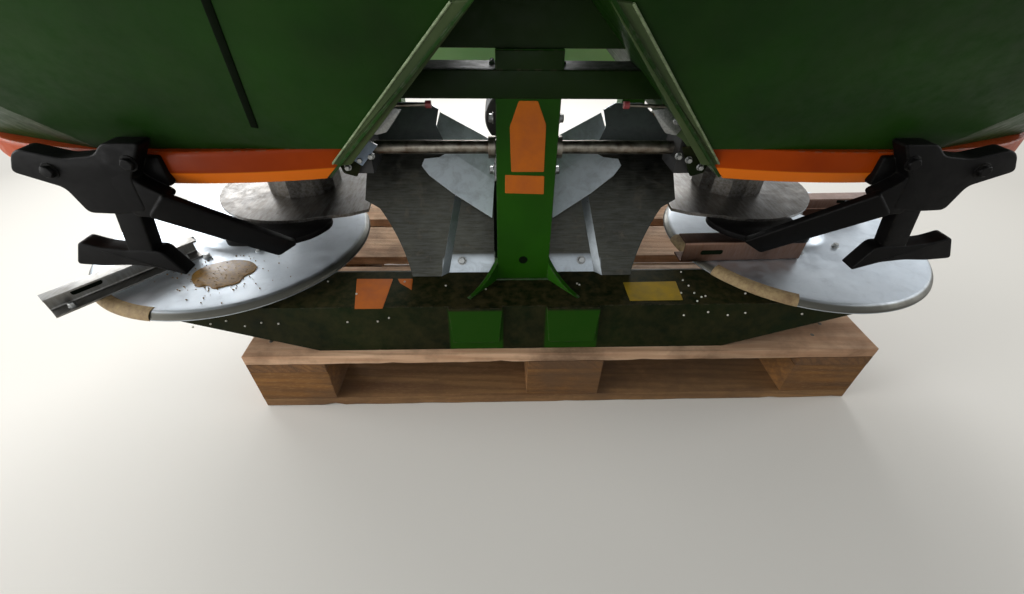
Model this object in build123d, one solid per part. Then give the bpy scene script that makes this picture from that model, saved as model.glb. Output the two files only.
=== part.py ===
from build123d import *
import os
from math import sin, cos, atan2, hypot, degrees

# Mounted twin-disc fertilizer spreader standing on a wooden pallet.
# Millimetres. X is across the machine, +Y points to the tractor, Z is up.
# The origin is on the floor under the pallet's middle runner, in the machine's centre plane.

# Pallet
palletLength = 1200
palletDepth = 800
palletOffset = 81
boardThick = 22
wideBoard = 145
narrowBoard = 100
blockHeight = 78
palletHeight = 3 * boardThick + blockHeight

# Rear beam, a fish-bellied box whose top carries the post
beamTop = 235
beamRearTop = -370
beamRearFoot = -386
beamFront = -262
beamHalfLength = 620
beamBellyHalf = 380
beamTipDepth = 22
beamBracketMiddle = 88
beamBracketHalf = 48
beamBracketTaper = 6
beamBracketBottom = 163
beamBracketThick = 8

# Centre post with the agitator drive inside
postWidth = 96
postRear = -290
postFront = postRear + postWidth
gussetReach = 84
gussetHeight = 44
gussetSag = 10                                  # how far its edge bows in from a straight line
gussetTurn = -50                                # degrees from +X, so that the foot flares outward and rearward
plateThick = 8

# Discs
discSpacing = 1178
discY = -150
discTop = 257
discFlatRadius = 245
discRadius = 262
rimDrop = 15
discThick = 4
hubRadius = 72
hubHeight = 34
domeShoulder = (59, 17)                         # radius and height where the dome turns over
domeCrown = 32
discShaftRadius = 15
discShaftDepth = 30
discBoxGap = 12
runningFit = 0.05

# Vanes, folded channels set on the disc at their tips
vaneThick = 3
# (tip angle from +X, tip radius, length, pitch from the radius, height, flange reach)
leftVanes = [(-128, 316, 228, 0, 36, 27), (52, 258, 170, 0, 36, 27)]
rightVanes = [(-157, 303, 240, -21, 45, -34), (23, 258, 196, -21, 45, -34)]

# Hopper
wall = 4
tipBottom = 508
slopeTop = 1050
hopperTop = 1240
hopperHalfWidth = 1075
hopperRear = -640
hopperFront = 400
tipRear = -345
tipFront = 82
rimWidth = 34
rimDepth = 30
ridgeTop = 760
ridgeRun = 0.987                                # sideways run for each millimetre of fall
flangeReach = 10
tipMiddle = (tipRear + tipFront) / 2
tipWaist = 600                                  # |X| where the straight rear wall ends
tipShoulder = (800, 142)                        # |X| and half depth of the first corner
tipCheek = (885, 44)                            # |X| and half depth of the outer cheek

# Orange skirt round each tip, a bowed band with a folded lower edge and an inner flange under the walls
skirtBottom = 457
skirtCrease = 476
skirtTuck = 10
skirtThick = 5
skirtFlange = 28
# (start, middle, end) of each arc in plan, as |X| and half depth from the tip's middle line
skirtArcs = [((250, 196), (485, 226), (720, 193)),
             ((720, 193), (812, 144), (880, 64)),
             ((880, 64), (900, 0), (880, -64))]
arcShares = 4                                   # straight pieces of the floor's edge along each arc

# Outlet under each tip
outletX = 455
outletY = -75
outletRadius = 72
collarTop = 375
plateTop = 336
outletPlateRadius = 165
outletPlateThick = 6
outletHole = (120, 84)
outletTongue = [(385, -60), (335, -60), (300, -158), (297, -194), (329, -212), (385, -226)]     # (|X|, Y)
shutterThick = 3
shutterSpan = (-40, 130, 50)                    # inner and outer end from the outlet's middle, and half width
shutterWindow = (-30, 20, 36)

# Agitator
agitatorY = postRear + postWidth / 2
agitatorZ = 474
agitatorRadius = 11
agitatorEnd = 560
fingerReach = 37
fingerWidth = 8
fingerFirst = 395
fingerPitch = 64
fingerCount = 3
shaftHole = 5
agitatorCollar = (18, 12)                       # radius and length
bearingBlock = (34, 32)                         # depth along the shaft and half height

# Drive under the machine
gearboxHalf = 85
gearboxRear = -165
gearboxFront = -20
gearboxTop = 380
tubeY = -230
tubeZ = 178
tubeRadius = 30
discBoxRadius = 62
discBoxBottom = 148
inputZ = 320
inputRadius = 38
ptoRadius = 17.45
ptoShaftRadius = 19
ptoEnd = 545
ptoStubStart = 452
ptoGap = 0.3
guardRadius = 85
guardWall = 5
guardBack = 14
guardNose = 20

# Frame and headstock
railInner = 120
railOuter = 180
railTop = palletHeight + 80
headRear = 410
headFront = 470
uprightInner = 330
uprightOuter = 400
headTop = 930
headBeamDepth = 80
frontPlateBottom = 405
frontPlateTop = 590
frontPlateThick = 6
linkZ = 330
linkPinRadius = 14
linkShoulder = 412
linkPinEnd = 500
linkBossRadius = 32
clevisZ = 905
clevisReach = 62
clevisGap = 56
earThick = 14
clevisBore = 12.8
clevisBoss = 25
clevisFoot = 30

# Cross beams between post and hopper
crossBottom = 562
crossTop = 600
headPlateBottom = 625
crossDepth = 56

# Guard arm on each side: an outer plate, a hanging foot and a bar to the outlet
armRear = -390
armFront = -362
armSeat = -325                                  # the lug's front, cut back to the skirt
lugSpan = (512, 552)
lugZ = (skirtBottom + 4, tipBottom - 4)
# (|X|, Z) outlines in the arm's plane
armPlate = [(692, 493), (677, 517), (664, 524), (615, 511), (574, 515), (556, 531), (507, 531), (545, 480),
            (507, 455), (541, 422), (588, 440), (637, 470)]
armStem = [(545, 452), (545, 435), (565, 360), (611, 360), (588, 435), (588, 452)]
armFoot = [(531, 321), (580, 337), (618, 342), (655, 341), (696, 345), (672, 385), (645, 374), (618, 367), (585, 364),
           (554, 366)]
armHook = [(588, 452), (627, 432), (650, 480)]
# (|X|, Y, Z) of the bar's upper and lower edge at each end
barRearEdge = [(507, -376, 455), (541, -376, 422)]
barFrontEdge = [(402, -290, 328), (440, -290, 309)]
barThick = 14
# (|X|, Y) of the pad that takes the bar under the outlet plate
armPad = [(526, -190), (526, -300), (420, -300), (380, -275), (358, -236), (364, -206), (385, -190)]
padBottom = 318

# Deflector plates between discs and post
deflectorRun = 1 / 1.509                        # run towards the tractor for each millimetre of rise
deflectorFoot = -279
deflectorThick = 3
panelSet = 13                                   # how far the inner panel stands behind the main plate
# (|X|, Z) outlines of the main plate and of the inner panel, whose shared fold is given by its two ends
plateFold = [(157, 235), (128, 363)]
panelFold = [(143, 235), (114, 363)]
plateInner = [(134, 427), (152, 456), (161, 472), (156, 496), (177, 506)]
plateOuter = [(232, 506), (286, 459), (298, 357), (271, 344)]
plateHem = [(271, 344), (235, 291), (212, 235)]
panelInner = [(54, 363), (54, 235)]
scoopFold = [(136, -151, 433), (52, -181, 389)] # (|X|, Y, Z) of the fold between roof and scoop
roofRise = 0.75                                 # rise towards the tractor for each millimetre of run
scoopRise = 1
# (|X|, Z) outlines of the roof and of the scoop, from the fold's inner end round to its outer end
roofEdge = [(52, 438), (76, 450), (156, 486), (162, 465), (154, 455)]
scoopEdge = [(57, 337), (128, 374), (172, 401), (187, 416), (182, 425), (155, 426)]

# Charging sieves, hinged at the hopper's centre tie
sieveInner = 26
sieveOuter = 1050
sieveRear = -600
sieveFront = 360
sieveZ = 1066
sieveBar = 8
sieveFrame = 20
sieveBars = 7
sieveRungs = 5
tieRadius = 24
hingeRadius = 9
hingeBoss = 13
hingeLugThick = 8
hingeLugs = [-540, 300]                         # Y of each lug, between the sieve's cross bars
restGap = 0.3
ledgeDepth = 40
ledgeThick = 5


def box(x0, x1, y0, y1, z0, z1):
    """A block between two opposite corners."""
    return Pos((x0 + x1) / 2, (y0 + y1) / 2, (z0 + z1) / 2) * Box(abs(x1 - x0), abs(y1 - y0), abs(z1 - z0))


def alongX(points, x0, x1):
    """A profile of (y, z) points carried from x0 to x1."""
    face = Face(Wire.make_polygon([(x0, y, z) for y, z in points], close=True))
    return extrude(face, amount=x1 - x0, dir=(1, 0, 0))


def alongY(points, y0, y1):
    """A profile of (x, z) points carried from y0 to y1."""
    face = Face(Wire.make_polygon([(x, y0, z) for x, z in points], close=True))
    return extrude(face, amount=y1 - y0, dir=(0, 1, 0))


def alongZ(points, z0, z1):
    """A profile of (x, y) points carried from z0 to z1."""
    face = Face(Wire.make_polygon([(x, y, z0) for x, y in points], close=True))
    return extrude(face, amount=z1 - z0, dir=(0, 0, 1))


def sheet(points, thick, inward):
    """A flat sheet on a polygon of 3-D points, its thickness laid towards a point inside."""
    face = Face(Wire.make_polygon(points, close=True))
    normal = face.normal_at()
    towards = Vector(*inward) - face.center()
    if normal.dot(towards) < 0:
        normal = normal * -1
    return extrude(face, amount=thick, dir=normal)


def skinned(lower, upper):
    """A solid from one flat ring of points to another with as many, its sides folded into triangles."""
    faces = [Face(Wire.make_polygon(ring, close=True)) for ring in (lower, upper)]
    for k in range(len(lower)):
        a, b, c, d = lower[k - 1], lower[k], upper[k], upper[k - 1]
        faces += [Face(Wire.make_polygon(corners, close=True)) for corners in ([a, b, c], [a, c, d])]
    return Solid(Shell(faces))


def between(low, lowZ, high, highZ):
    """The same from a level polygon to another level one."""
    return skinned([(x, y, lowZ) for x, y in low], [(x, y, highZ) for x, y in high])


def bowed(points, arc, y0, y1):
    """A profile of (x, z) points that ends in an arc back to its start, carried from y0 to y1."""
    path = [(x, y0, z) for x, z in points]
    edges = [Edge.make_line(a, b) for a, b in zip(path, path[1:])]
    edges.append(Edge.make_three_point_arc(*[(x, y0, z) for x, z in arc]))
    return extrude(Face(Wire(edges)), amount=y1 - y0, dir=(0, 1, 0))


def rod(start, end, radius):
    """A round bar between two points."""
    a = Vector(*start)
    axis = Vector(*end) - a
    return extrude(Plane(a, z_dir=axis) * Circle(radius), amount=axis.length)


def flip(shape):
    """The same piece on the other side of the centre plane."""
    return mirror(shape, about=Plane.YZ)


def both(shape):
    """A piece and its mirror image, kept apart."""
    return Compound([*shape.solids(), *flip(shape).solids()])


def rearY(z):
    """Outside of the sloping rear wall at height z."""
    return tipRear + (hopperRear - tipRear) * (z - tipBottom) / (slopeTop - tipBottom)


def frontY(z):
    """Outside of the sloping front wall at height z."""
    return tipFront + (hopperFront - tipFront) * (z - tipBottom) / (slopeTop - tipBottom)


def ridgeX(z):
    """Underside of the left ridge panel at height z."""
    return -(ridgeTop - z) * ridgeRun


nodes = {}


# Pallet
def pallet():
    x0 = palletOffset - palletLength / 2
    x1 = palletOffset + palletLength / 2
    half = palletDepth / 2
    deck = palletHeight - boardThick
    widths = [wideBoard, narrowBoard, wideBoard, narrowBoard, wideBoard]
    gap = (palletDepth - sum(widths)) / (len(widths) - 1)
    boards = []
    y = -half
    for width in widths:
        boards.append(box(x0, x1, y, y + width, deck, palletHeight))
        y += width + gap
    crossX = [x0, palletOffset - wideBoard / 2, x1 - wideBoard]
    cross = [box(x, x + wideBoard, -half, half, deck - boardThick, deck) for x in crossX]
    rows = [(-half, -half + narrowBoard), (-wideBoard / 2, wideBoard / 2), (half - narrowBoard, half)]
    blocks = []
    runners = []
    for ya, yb in rows:
        runners.append(box(x0, x1, ya, yb, 0, boardThick))
        for x in crossX:
            blocks.append(box(x, x + wideBoard, ya, yb, boardThick, boardThick + blockHeight))
    nodes["pallet_top_boards"] = Compound(boards)
    nodes["pallet_cross_boards"] = Compound(cross)
    nodes["pallet_blocks"] = Compound(blocks)
    nodes["pallet_runners"] = Compound(runners)


# Rear beam and centre post
def rearBeam():
    profile = [(beamRearFoot, palletHeight), (beamRearTop, beamTop),
               (beamFront, beamTop), (beamFront, palletHeight)]
    beam = alongX(profile, -beamHalfLength, beamHalfLength)
    tip = beamTop - beamTipDepth
    wedge = [(beamBellyHalf, palletHeight), (beamHalfLength, tip), (beamHalfLength, palletHeight)]
    lean = (beamRearTop - beamRearFoot) / (beamTop - palletHeight)
    wide, narrow = beamBracketHalf, beamBracketHalf - beamBracketTaper
    bracket = [(-wide, beamTop), (wide, beamTop), (narrow, beamBracketBottom), (-narrow, beamBracketBottom)]
    for side in (1, -1):
        cut = alongY([(side * x, z) for x, z in wedge], beamRearFoot - 1, beamFront + 1)
        beam -= cut
        corners = [(side * beamBracketMiddle + x, beamRearTop - lean * (beamTop - z), z) for x, z in bracket]
        beam += sheet(corners, beamBracketThick, (0, hopperRear, beamTop))
    nodes["rear_beam"] = beam


def centrePost():
    half = postWidth / 2
    post = box(-half, half, postRear, postFront, beamTop, headPlateBottom)
    middle = (gussetReach / 2 - gussetSag, beamTop + gussetHeight / 2 - gussetSag / 2)
    arc = [(gussetReach, beamTop), middle, (0, beamTop + gussetHeight)]
    top = beamTop + gussetHeight
    web = [(0, top), (-plateThick, top), (-plateThick, beamTop), (gussetReach, beamTop)]
    corner = Pos(half - plateThick / 2, postRear + plateThick / 2, 0) * Rot(0, 0, gussetTurn)
    flare = corner * bowed(web, arc, 0, plateThick)
    post = post + flare + flip(flare)
    post -= rod((-half - 1, agitatorY, agitatorZ), (half + 1, agitatorY, agitatorZ), agitatorRadius + runningFit)
    nodes["centre_post"] = post
    beamLeft = [(-half, crossBottom), (ridgeX(crossBottom), crossBottom),
                (ridgeX(crossTop), crossTop), (-half, crossTop)]
    headHalf = -ridgeX(headPlateBottom)
    head = [(-headHalf, headPlateBottom), (headHalf, headPlateBottom), (0, ridgeTop)]
    rear = postRear + plateThick
    beams = both(alongY(beamLeft, rear, rear + crossDepth))
    nodes["post_cross_beam"] = Compound([*beams.solids(), alongY(head, rear, rear + crossDepth)])


# Drive
def drive():
    gearbox = box(-gearboxHalf, gearboxHalf, beamFront, gearboxFront, palletHeight, beamTop)
    gearbox += box(-gearboxHalf, gearboxHalf, gearboxRear, gearboxFront, beamTop, gearboxTop)
    nodes["centre_gearbox"] = gearbox
    discX = discSpacing / 2
    reach = discX - discBoxRadius
    nodes["drive_tubes"] = both(rod((-gearboxHalf, tubeY, tubeZ), (-reach, tubeY, tubeZ), tubeRadius))
    boxTop = discTop - rimDrop - discBoxGap
    housing = Pos(-discX, discY, (discBoxBottom + boxTop) / 2) * Cylinder(discBoxRadius, boxTop - discBoxBottom)
    housing += box(-discX - discBoxRadius, -reach, beamFront, discY, discBoxBottom, beamTop - beamTipDepth)
    housing -= Pos(-discX, discY, boxTop) * Cylinder(discShaftRadius + runningFit, 2 * discShaftDepth + 2)
    nodes["disc_gearboxes"] = both(housing)
    inputTube = rod((0, gearboxFront, inputZ), (0, ptoStubStart, inputZ), inputRadius)
    inputTube -= rod((0, gearboxFront - 1, inputZ), (0, ptoStubStart + 1, inputZ), ptoShaftRadius + runningFit)
    nodes["input_tube"] = inputTube
    shaft = rod((0, gearboxFront + ptoGap, inputZ), (0, ptoStubStart, inputZ), ptoShaftRadius)
    nodes["pto_shaft"] = shaft + rod((0, ptoStubStart, inputZ), (0, ptoEnd, inputZ), ptoRadius)
    guardFoot = ptoStubStart - guardBack
    guard = rod((0, guardFoot, inputZ), (0, ptoEnd + guardNose, inputZ), guardRadius)
    guard -= rod((0, guardFoot + guardWall, inputZ), (0, ptoEnd + guardNose + 1, inputZ), guardRadius - guardWall)
    guard -= rod((0, guardFoot - 1, inputZ), (0, ptoEnd, inputZ), inputRadius + runningFit)
    nodes["pto_guard"] = guard


# Frame and headstock
def frame():
    rail = box(railInner, railOuter, beamFront, headRear, palletHeight, railTop)
    rail -= rod((railInner - 1, tubeY, tubeZ), (railOuter + 1, tubeY, tubeZ), tubeRadius)
    nodes["frame_rails"] = both(rail)
    cross = box(-uprightOuter, uprightOuter, headRear, headFront, palletHeight, railTop)
    nodes["headstock_lower_beam"] = cross
    upright = box(uprightInner, uprightOuter, headRear, headFront, railTop, headTop - headBeamDepth)
    nodes["headstock_uprights"] = both(upright)
    nodes["headstock_upper_beam"] = box(-uprightOuter, uprightOuter, headRear, headFront,
                                        headTop - headBeamDepth, headTop)
    nodes["headstock_front_plate"] = box(-uprightInner, uprightInner, headRear, headRear + frontPlateThick,
                                         frontPlateBottom, frontPlateTop)
    support = [(headRear, headTop - headBeamDepth), (headRear, headTop), (frontY(headTop), headTop),
               (frontY(headTop - headBeamDepth), headTop - headBeamDepth)]
    nodes["hopper_supports"] = both(alongX(support, uprightInner, uprightOuter))
    linkY = (headRear + headFront) / 2
    pin = rod((uprightOuter, linkY, linkZ), (linkPinEnd, linkY, linkZ), linkPinRadius)
    pin += rod((uprightOuter, linkY, linkZ), (linkShoulder, linkY, linkZ), linkBossRadius)
    nodes["lower_link_pins"] = both(pin)
    earY = headFront + clevisReach
    earInner, earOuter = clevisGap / 2, clevisGap / 2 + earThick
    ear = box(earInner, earOuter, headFront, earY, clevisZ - clevisFoot, clevisZ + clevisBoss)
    ear += rod((earInner, earY, clevisZ), (earOuter, earY, clevisZ), clevisBoss)
    ear -= rod((earInner - 1, earY, clevisZ), (earOuter + 1, earY, clevisZ), clevisBore)
    nodes["top_link_clevis"] = both(ear)


# Hopper
def hopper():
    inside = (0, tipMiddle, slopeTop)
    leftInside = (-tipWaist, tipMiddle, slopeTop)
    low = tipBottom
    aboveSlope = box(-2 * hopperHalfWidth, 2 * hopperHalfWidth, 2 * hopperRear, 2 * hopperFront, slopeTop, hopperTop)

    def ridgePoint(z, y):
        return (ridgeX(z), y, z)

    ridgeCorners = [ridgePoint(skirtBottom, rearY(skirtBottom) - flangeReach),
                    ridgePoint(ridgeTop, rearY(ridgeTop) - flangeReach),
                    ridgePoint(ridgeTop, frontY(ridgeTop)),
                    ridgePoint(skirtBottom, frontY(skirtBottom))]
    ridgeLeft = sheet(ridgeCorners, wall, leftInside)
    ridgeRight = flip(ridgeLeft)
    ridgeCap = box(0, 5 * wall, hopperRear, hopperFront, ridgeTop - 5 * wall, ridgeTop + 5 * wall)
    ridgeLeft -= ridgeCap
    ridgeRight -= flip(ridgeCap)

    def endWall(y, top):
        half = [(-hopperHalfWidth, top, slopeTop), (-tipWaist, y(low), low),
                (ridgeX(low), y(low), low), (0, y(ridgeTop), ridgeTop)]
        other = [(-x, yy, z) for x, yy, z in half[2::-1]]
        slope = sheet(half + other, wall, inside)
        return slope - aboveSlope - ridgeLeft - ridgeRight

    rear = endWall(rearY, hopperRear)
    front = endWall(frontY, hopperFront)
    shoulder, cheek = tipShoulder, tipCheek
    corners = [(-tipWaist, tipRear), (-shoulder[0], tipMiddle - shoulder[1]), (-cheek[0], tipMiddle - cheek[1]),
               (-cheek[0], tipMiddle + cheek[1]), (-shoulder[0], tipMiddle + shoulder[1]), (-tipWaist, tipFront)]
    bottom = [(x, y, low) for x, y in corners]
    rearTop = (-hopperHalfWidth, hopperRear, slopeTop)
    frontTop = (-hopperHalfWidth, hopperFront, slopeTop)
    facets = [[bottom[0], bottom[1], rearTop], [bottom[1], bottom[2], rearTop],
              [bottom[2], bottom[3], frontTop, rearTop],
              [bottom[3], bottom[4], frontTop], [bottom[4], bottom[5], frontTop]]
    side = sheet(facets[0], wall, leftInside)
    for facet in facets[1:]:
        side += sheet(facet, wall, leftInside)
    side = side - aboveSlope - rear - front
    nodes["hopper_rear_panel"] = rear
    nodes["hopper_front_panel"] = front
    nodes["hopper_left_panel"] = side
    nodes["hopper_right_panel"] = flip(side)
    nodes["ridge_left_panel"] = ridgeLeft
    nodes["ridge_right_panel"] = ridgeRight
    nodes["hopper_band"] = fourSides(0, wall, slopeTop, hopperTop)
    nodes["hopper_rim"] = fourSides(rimWidth, rimWidth, hopperTop - rimDepth, hopperTop)


def fourSides(outset, thick, z0, z1):
    """Four boards butted round the hopper's mouth, their outside an outset beyond its walls."""
    x1 = hopperHalfWidth + outset
    y0, y1 = hopperRear - outset, hopperFront + outset
    ends = [box(-x1, x1, y0, y0 + thick, z0, z1), box(-x1, x1, y1 - thick, y1, z0, z1)]
    return Compound(ends + [*both(box(-x1, -x1 + thick, y0 + thick, y1 - thick, z0, z1)).solids()])


def skirtEdges(z):
    """The skirt's outside on the left as arcs in plan at height z, from its rear ridge end to its front one."""
    rear = [[(-x, tipMiddle - d, z) for x, d in arc] for arc in skirtArcs]
    front = [[(x, 2 * tipMiddle - y, z) for x, y, z in reversed(arc)] for arc in reversed(rear[:-1])]
    return [Edge.make_three_point_arc(*arc) for arc in rear + front]


def skirtFace(z, inset):
    """What the skirt surrounds at height z, closed through the ridge side and drawn in by an inset."""
    edges = skirtEdges(z)
    edges.append(Edge.make_line(edges[-1] @ 1, edges[0] @ 0))
    face = Face(Wire(edges))
    return offset(face, amount=-inset) if inset else face


def ridgeSpace():
    """Everything on the centre side of the left ridge panel's upper face."""
    raised = ridgeTop + wall * hypot(1, ridgeRun) / ridgeRun
    low = (plateTop - raised) * ridgeRun
    return alongY([(0, raised), (low, plateTop), (-low, plateTop), (-low, raised)], hopperRear, hopperFront)


def skirtSolid(inset):
    """The folded band's outside as one solid, drawn in by an inset."""
    face = skirtFace(skirtCrease, inset)
    down = skirtCrease - skirtBottom
    fold = extrude(face, amount=down, dir=(0, 0, -1), taper=degrees(atan2(skirtTuck, down)))
    return extrude(face, amount=tipBottom - skirtCrease, dir=(0, 0, 1)) + fold


def tips():
    flange = skirtFace(tipBottom, 0) - skirtFace(tipBottom, skirtFlange)
    skirt = skirtSolid(0) - skirtSolid(skirtThick) + extrude(flange, amount=skirtThick, dir=(0, 0, -1))
    skirt -= ridgeSpace()
    nodes["skirt_left"] = skirt
    nodes["skirt_right"] = flip(skirt)
    edge = ridgeX(skirtBottom)
    seat = skirtTuck + skirtThick / 2
    rim = []
    for arc in skirtEdges(skirtBottom):
        for k in range(arcShares):
            point, along = arc @ (k / arcShares), arc % (k / arcShares)
            rim.append((min(point.X + seat * along.Y, edge), point.Y - seat * along.X))
    rim.append((edge, 2 * tipMiddle - rim[0][1]))
    rim += [(edge, tipMiddle + (rim[-1][1] - tipMiddle) * turn) for turn in (0.5, 0, -0.5)]

    def around(radius):
        turns = [atan2(y - outletY, x + outletX) for x, y in rim]
        return [(-outletX + radius * cos(turn), outletY + radius * sin(turn)) for turn in turns]

    ring = around(outletRadius)
    outer = between(ring, collarTop, rim, skirtBottom)
    inner = Pos(0, 0, wall) * outer
    floor = outer - inner
    floor += alongZ(ring, plateTop, collarTop + wall / 2)
    floor -= alongZ(around(outletRadius - wall), plateTop - 1, skirtBottom + 1)
    nodes["tip_floor_left"] = floor
    nodes["tip_floor_right"] = flip(floor)
    plate = Pos(-outletX, outletY, plateTop - outletPlateThick / 2) * Cylinder(outletPlateRadius, outletPlateThick)
    plate += alongZ([(-x, y) for x, y in outletTongue], plateTop - outletPlateThick, plateTop)
    plate -= Pos(-outletX, outletY, plateTop) * Box(outletHole[0], outletHole[1], 4 * outletPlateThick)
    nodes["outlet_plate_left"] = plate
    nodes["outlet_plate_right"] = flip(plate)
    under = plateTop - outletPlateThick
    x0, x1, half = shutterSpan
    shutter = box(-outletX + x0, -outletX + x1, outletY - half, outletY + half, under - shutterThick, under)
    x0, x1, half = shutterWindow
    shutter -= box(-outletX + x0, -outletX + x1, outletY - half, outletY + half, under - 2 * shutterThick, under + 1)
    nodes["outlet_shutters"] = both(shutter)


# Agitator
def agitator():
    blockX = ridgeX(agitatorZ)
    deep, tall = bearingBlock
    block = box(blockX - wall, blockX + deep, agitatorY - tall, agitatorY + tall, agitatorZ - tall, agitatorZ + tall)
    block -= ridgeSpaceOther()
    block -= rod((-agitatorEnd, agitatorY, agitatorZ), (0, agitatorY, agitatorZ), agitatorRadius + runningFit)
    nodes["agitator_bearings"] = both(block)
    shaft = rod((-agitatorEnd, agitatorY, agitatorZ), (agitatorEnd, agitatorY, agitatorZ), agitatorRadius)
    collarX = postWidth / 2 + 1
    radius, length = agitatorCollar
    half = fingerWidth / 2
    for side in (1, -1):
        a, b = side * collarX, side * (collarX + length)
        shaft += rod((a, agitatorY, agitatorZ), (b, agitatorY, agitatorZ), radius)
        for k in range(fingerCount):
            x = side * (fingerFirst + fingerPitch * k)
            dy, dz = (fingerReach, half) if k % 2 else (half, fingerReach)
            shaft += box(x - half, x + half, agitatorY - dy, agitatorY + dy, agitatorZ - dz, agitatorZ + dz)
    nodes["agitator_shaft"] = shaft
    hole = rod((-agitatorEnd, agitatorY, agitatorZ), (agitatorEnd, agitatorY, agitatorZ), agitatorRadius + shaftHole)
    nodes["ridge_left_panel"] -= hole
    nodes["ridge_right_panel"] -= hole


def ridgeSpaceOther():
    """Everything on the hopper side of the left ridge panel's underside."""
    low = ridgeX(plateTop)
    return alongY([(0, ridgeTop), (low, plateTop), (2 * low, plateTop), (2 * low, ridgeTop)], hopperRear, hopperFront)


# Discs and vanes
def disc(side, vanes):
    x = side * discSpacing / 2
    rimBottom = discTop - rimDrop
    underside = discTop - discThick
    shaftBottom = rimBottom - discBoxGap - discShaftDepth
    under = [(0, shaftBottom), (discShaftRadius, shaftBottom), (discShaftRadius, underside),
             (discFlatRadius - discThick, underside), (discRadius - discThick, rimBottom)]
    rim = [(discRadius, rimBottom), (discFlatRadius, discTop)]
    shoulder, rise = domeShoulder
    crown = discTop + hubHeight
    hub = [(hubRadius, discTop), (shoulder, discTop + rise), (domeCrown, crown), (0, crown)]
    face = Face(Wire.make_polygon([(r, 0, z) for r, z in under + rim + hub], close=True))
    plate = revolve(face, axis=Axis.Z)
    name = "left" if side < 0 else "right"
    nodes["disc_" + name] = Pos(x, discY, 0) * plate
    web = []
    for angle, reach, length, pitch, height, flange in vanes:
        channel = box(-length, 0, -vaneThick / 2, vaneThick / 2, discTop, discTop + height)
        for z in (discTop, discTop + height - vaneThick):
            channel += box(-length, 0, 0, flange, z, z + vaneThick)
        web.append(Pos(x, discY, 0) * Rot(0, 0, angle) * Pos(reach, 0, 0) * Rot(0, 0, pitch) * channel)
    nodes["vanes_" + name] = Compound(web)


# Guard arms
def guardArm():
    arm = alongY([(-x, z) for x, z in armPlate], armRear, armFront)
    for outline in (armStem, armFoot, armHook):
        arm += alongY([(-x, z) for x, z in outline], armRear, armFront)
    lug = box(-lugSpan[1], -lugSpan[0], armRear, armSeat, *lugZ) - skirtSolid(0)
    arm += lug.solids().sort_by(Axis.Y)[0]
    top, low = [Vector(-x, y, z) for x, y, z in barRearEdge]
    far, farLow = [Vector(-x, y, z) for x, y, z in barFrontEdge]
    through = (far - top).cross(low - top).normalized() * barThick
    arm += skinned([top, low, low + through, top + through], [far, farLow, farLow + through, far + through])
    arm += alongZ([(-x, y) for x, y in armPad], padBottom, plateTop - outletPlateThick)
    nodes["guard_arm_left"] = arm
    nodes["guard_arm_right"] = flip(arm)


# Deflector plates
def deflector():
    def slope(z, behind):
        return deflectorFoot + behind + (z - beamTop) * deflectorRun

    def slab(behind):
        deep = deflectorThick * hypot(1, deflectorRun)
        levels = [(beamTop, 0), (hopperTop, 0), (hopperTop, deep), (beamTop, deep)]
        return alongX([(slope(z, behind) + shift, z) for z, shift in levels], -discSpacing / 2, 0)

    def onScoop(x, z, rise):
        (xa, ya, za), (xb, yb, zb) = scoopFold
        share = (x - xa) / (xb - xa)
        return (-x, ya + share * (yb - ya) + (z - za - share * (zb - za)) / rise, z)

    path = [plateHem[-1], *plateFold, *plateInner, *plateOuter]
    plate = bowed([(-x, z) for x, z in path], [(-x, z) for x, z in plateHem], hopperRear, hopperFront) & slab(0)
    plate += alongY([(-x, z) for x, z in panelFold + panelInner], hopperRear, hopperFront) & slab(panelSet)
    fold = [(-x, slope(z, 0), z) for x, z in plateFold] + [(-x, slope(z, panelSet), z) for x, z in reversed(panelFold)]
    plate += sheet(fold, deflectorThick, (0, hopperFront, beamTop))
    for rise, edge in ((roofRise, roofEdge), (scoopRise, scoopEdge)):
        corners = [onScoop(x, z, rise) for x, z in [(x, z) for x, y, z in scoopFold] + edge]
        plate += sheet(corners, deflectorThick, (corners[0][0], hopperFront, 0))
    plate -= box(-discSpacing, 0, hopperRear, hopperFront, 0, beamTop)
    nodes["deflector_left"] = plate
    nodes["deflector_right"] = flip(plate)


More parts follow.
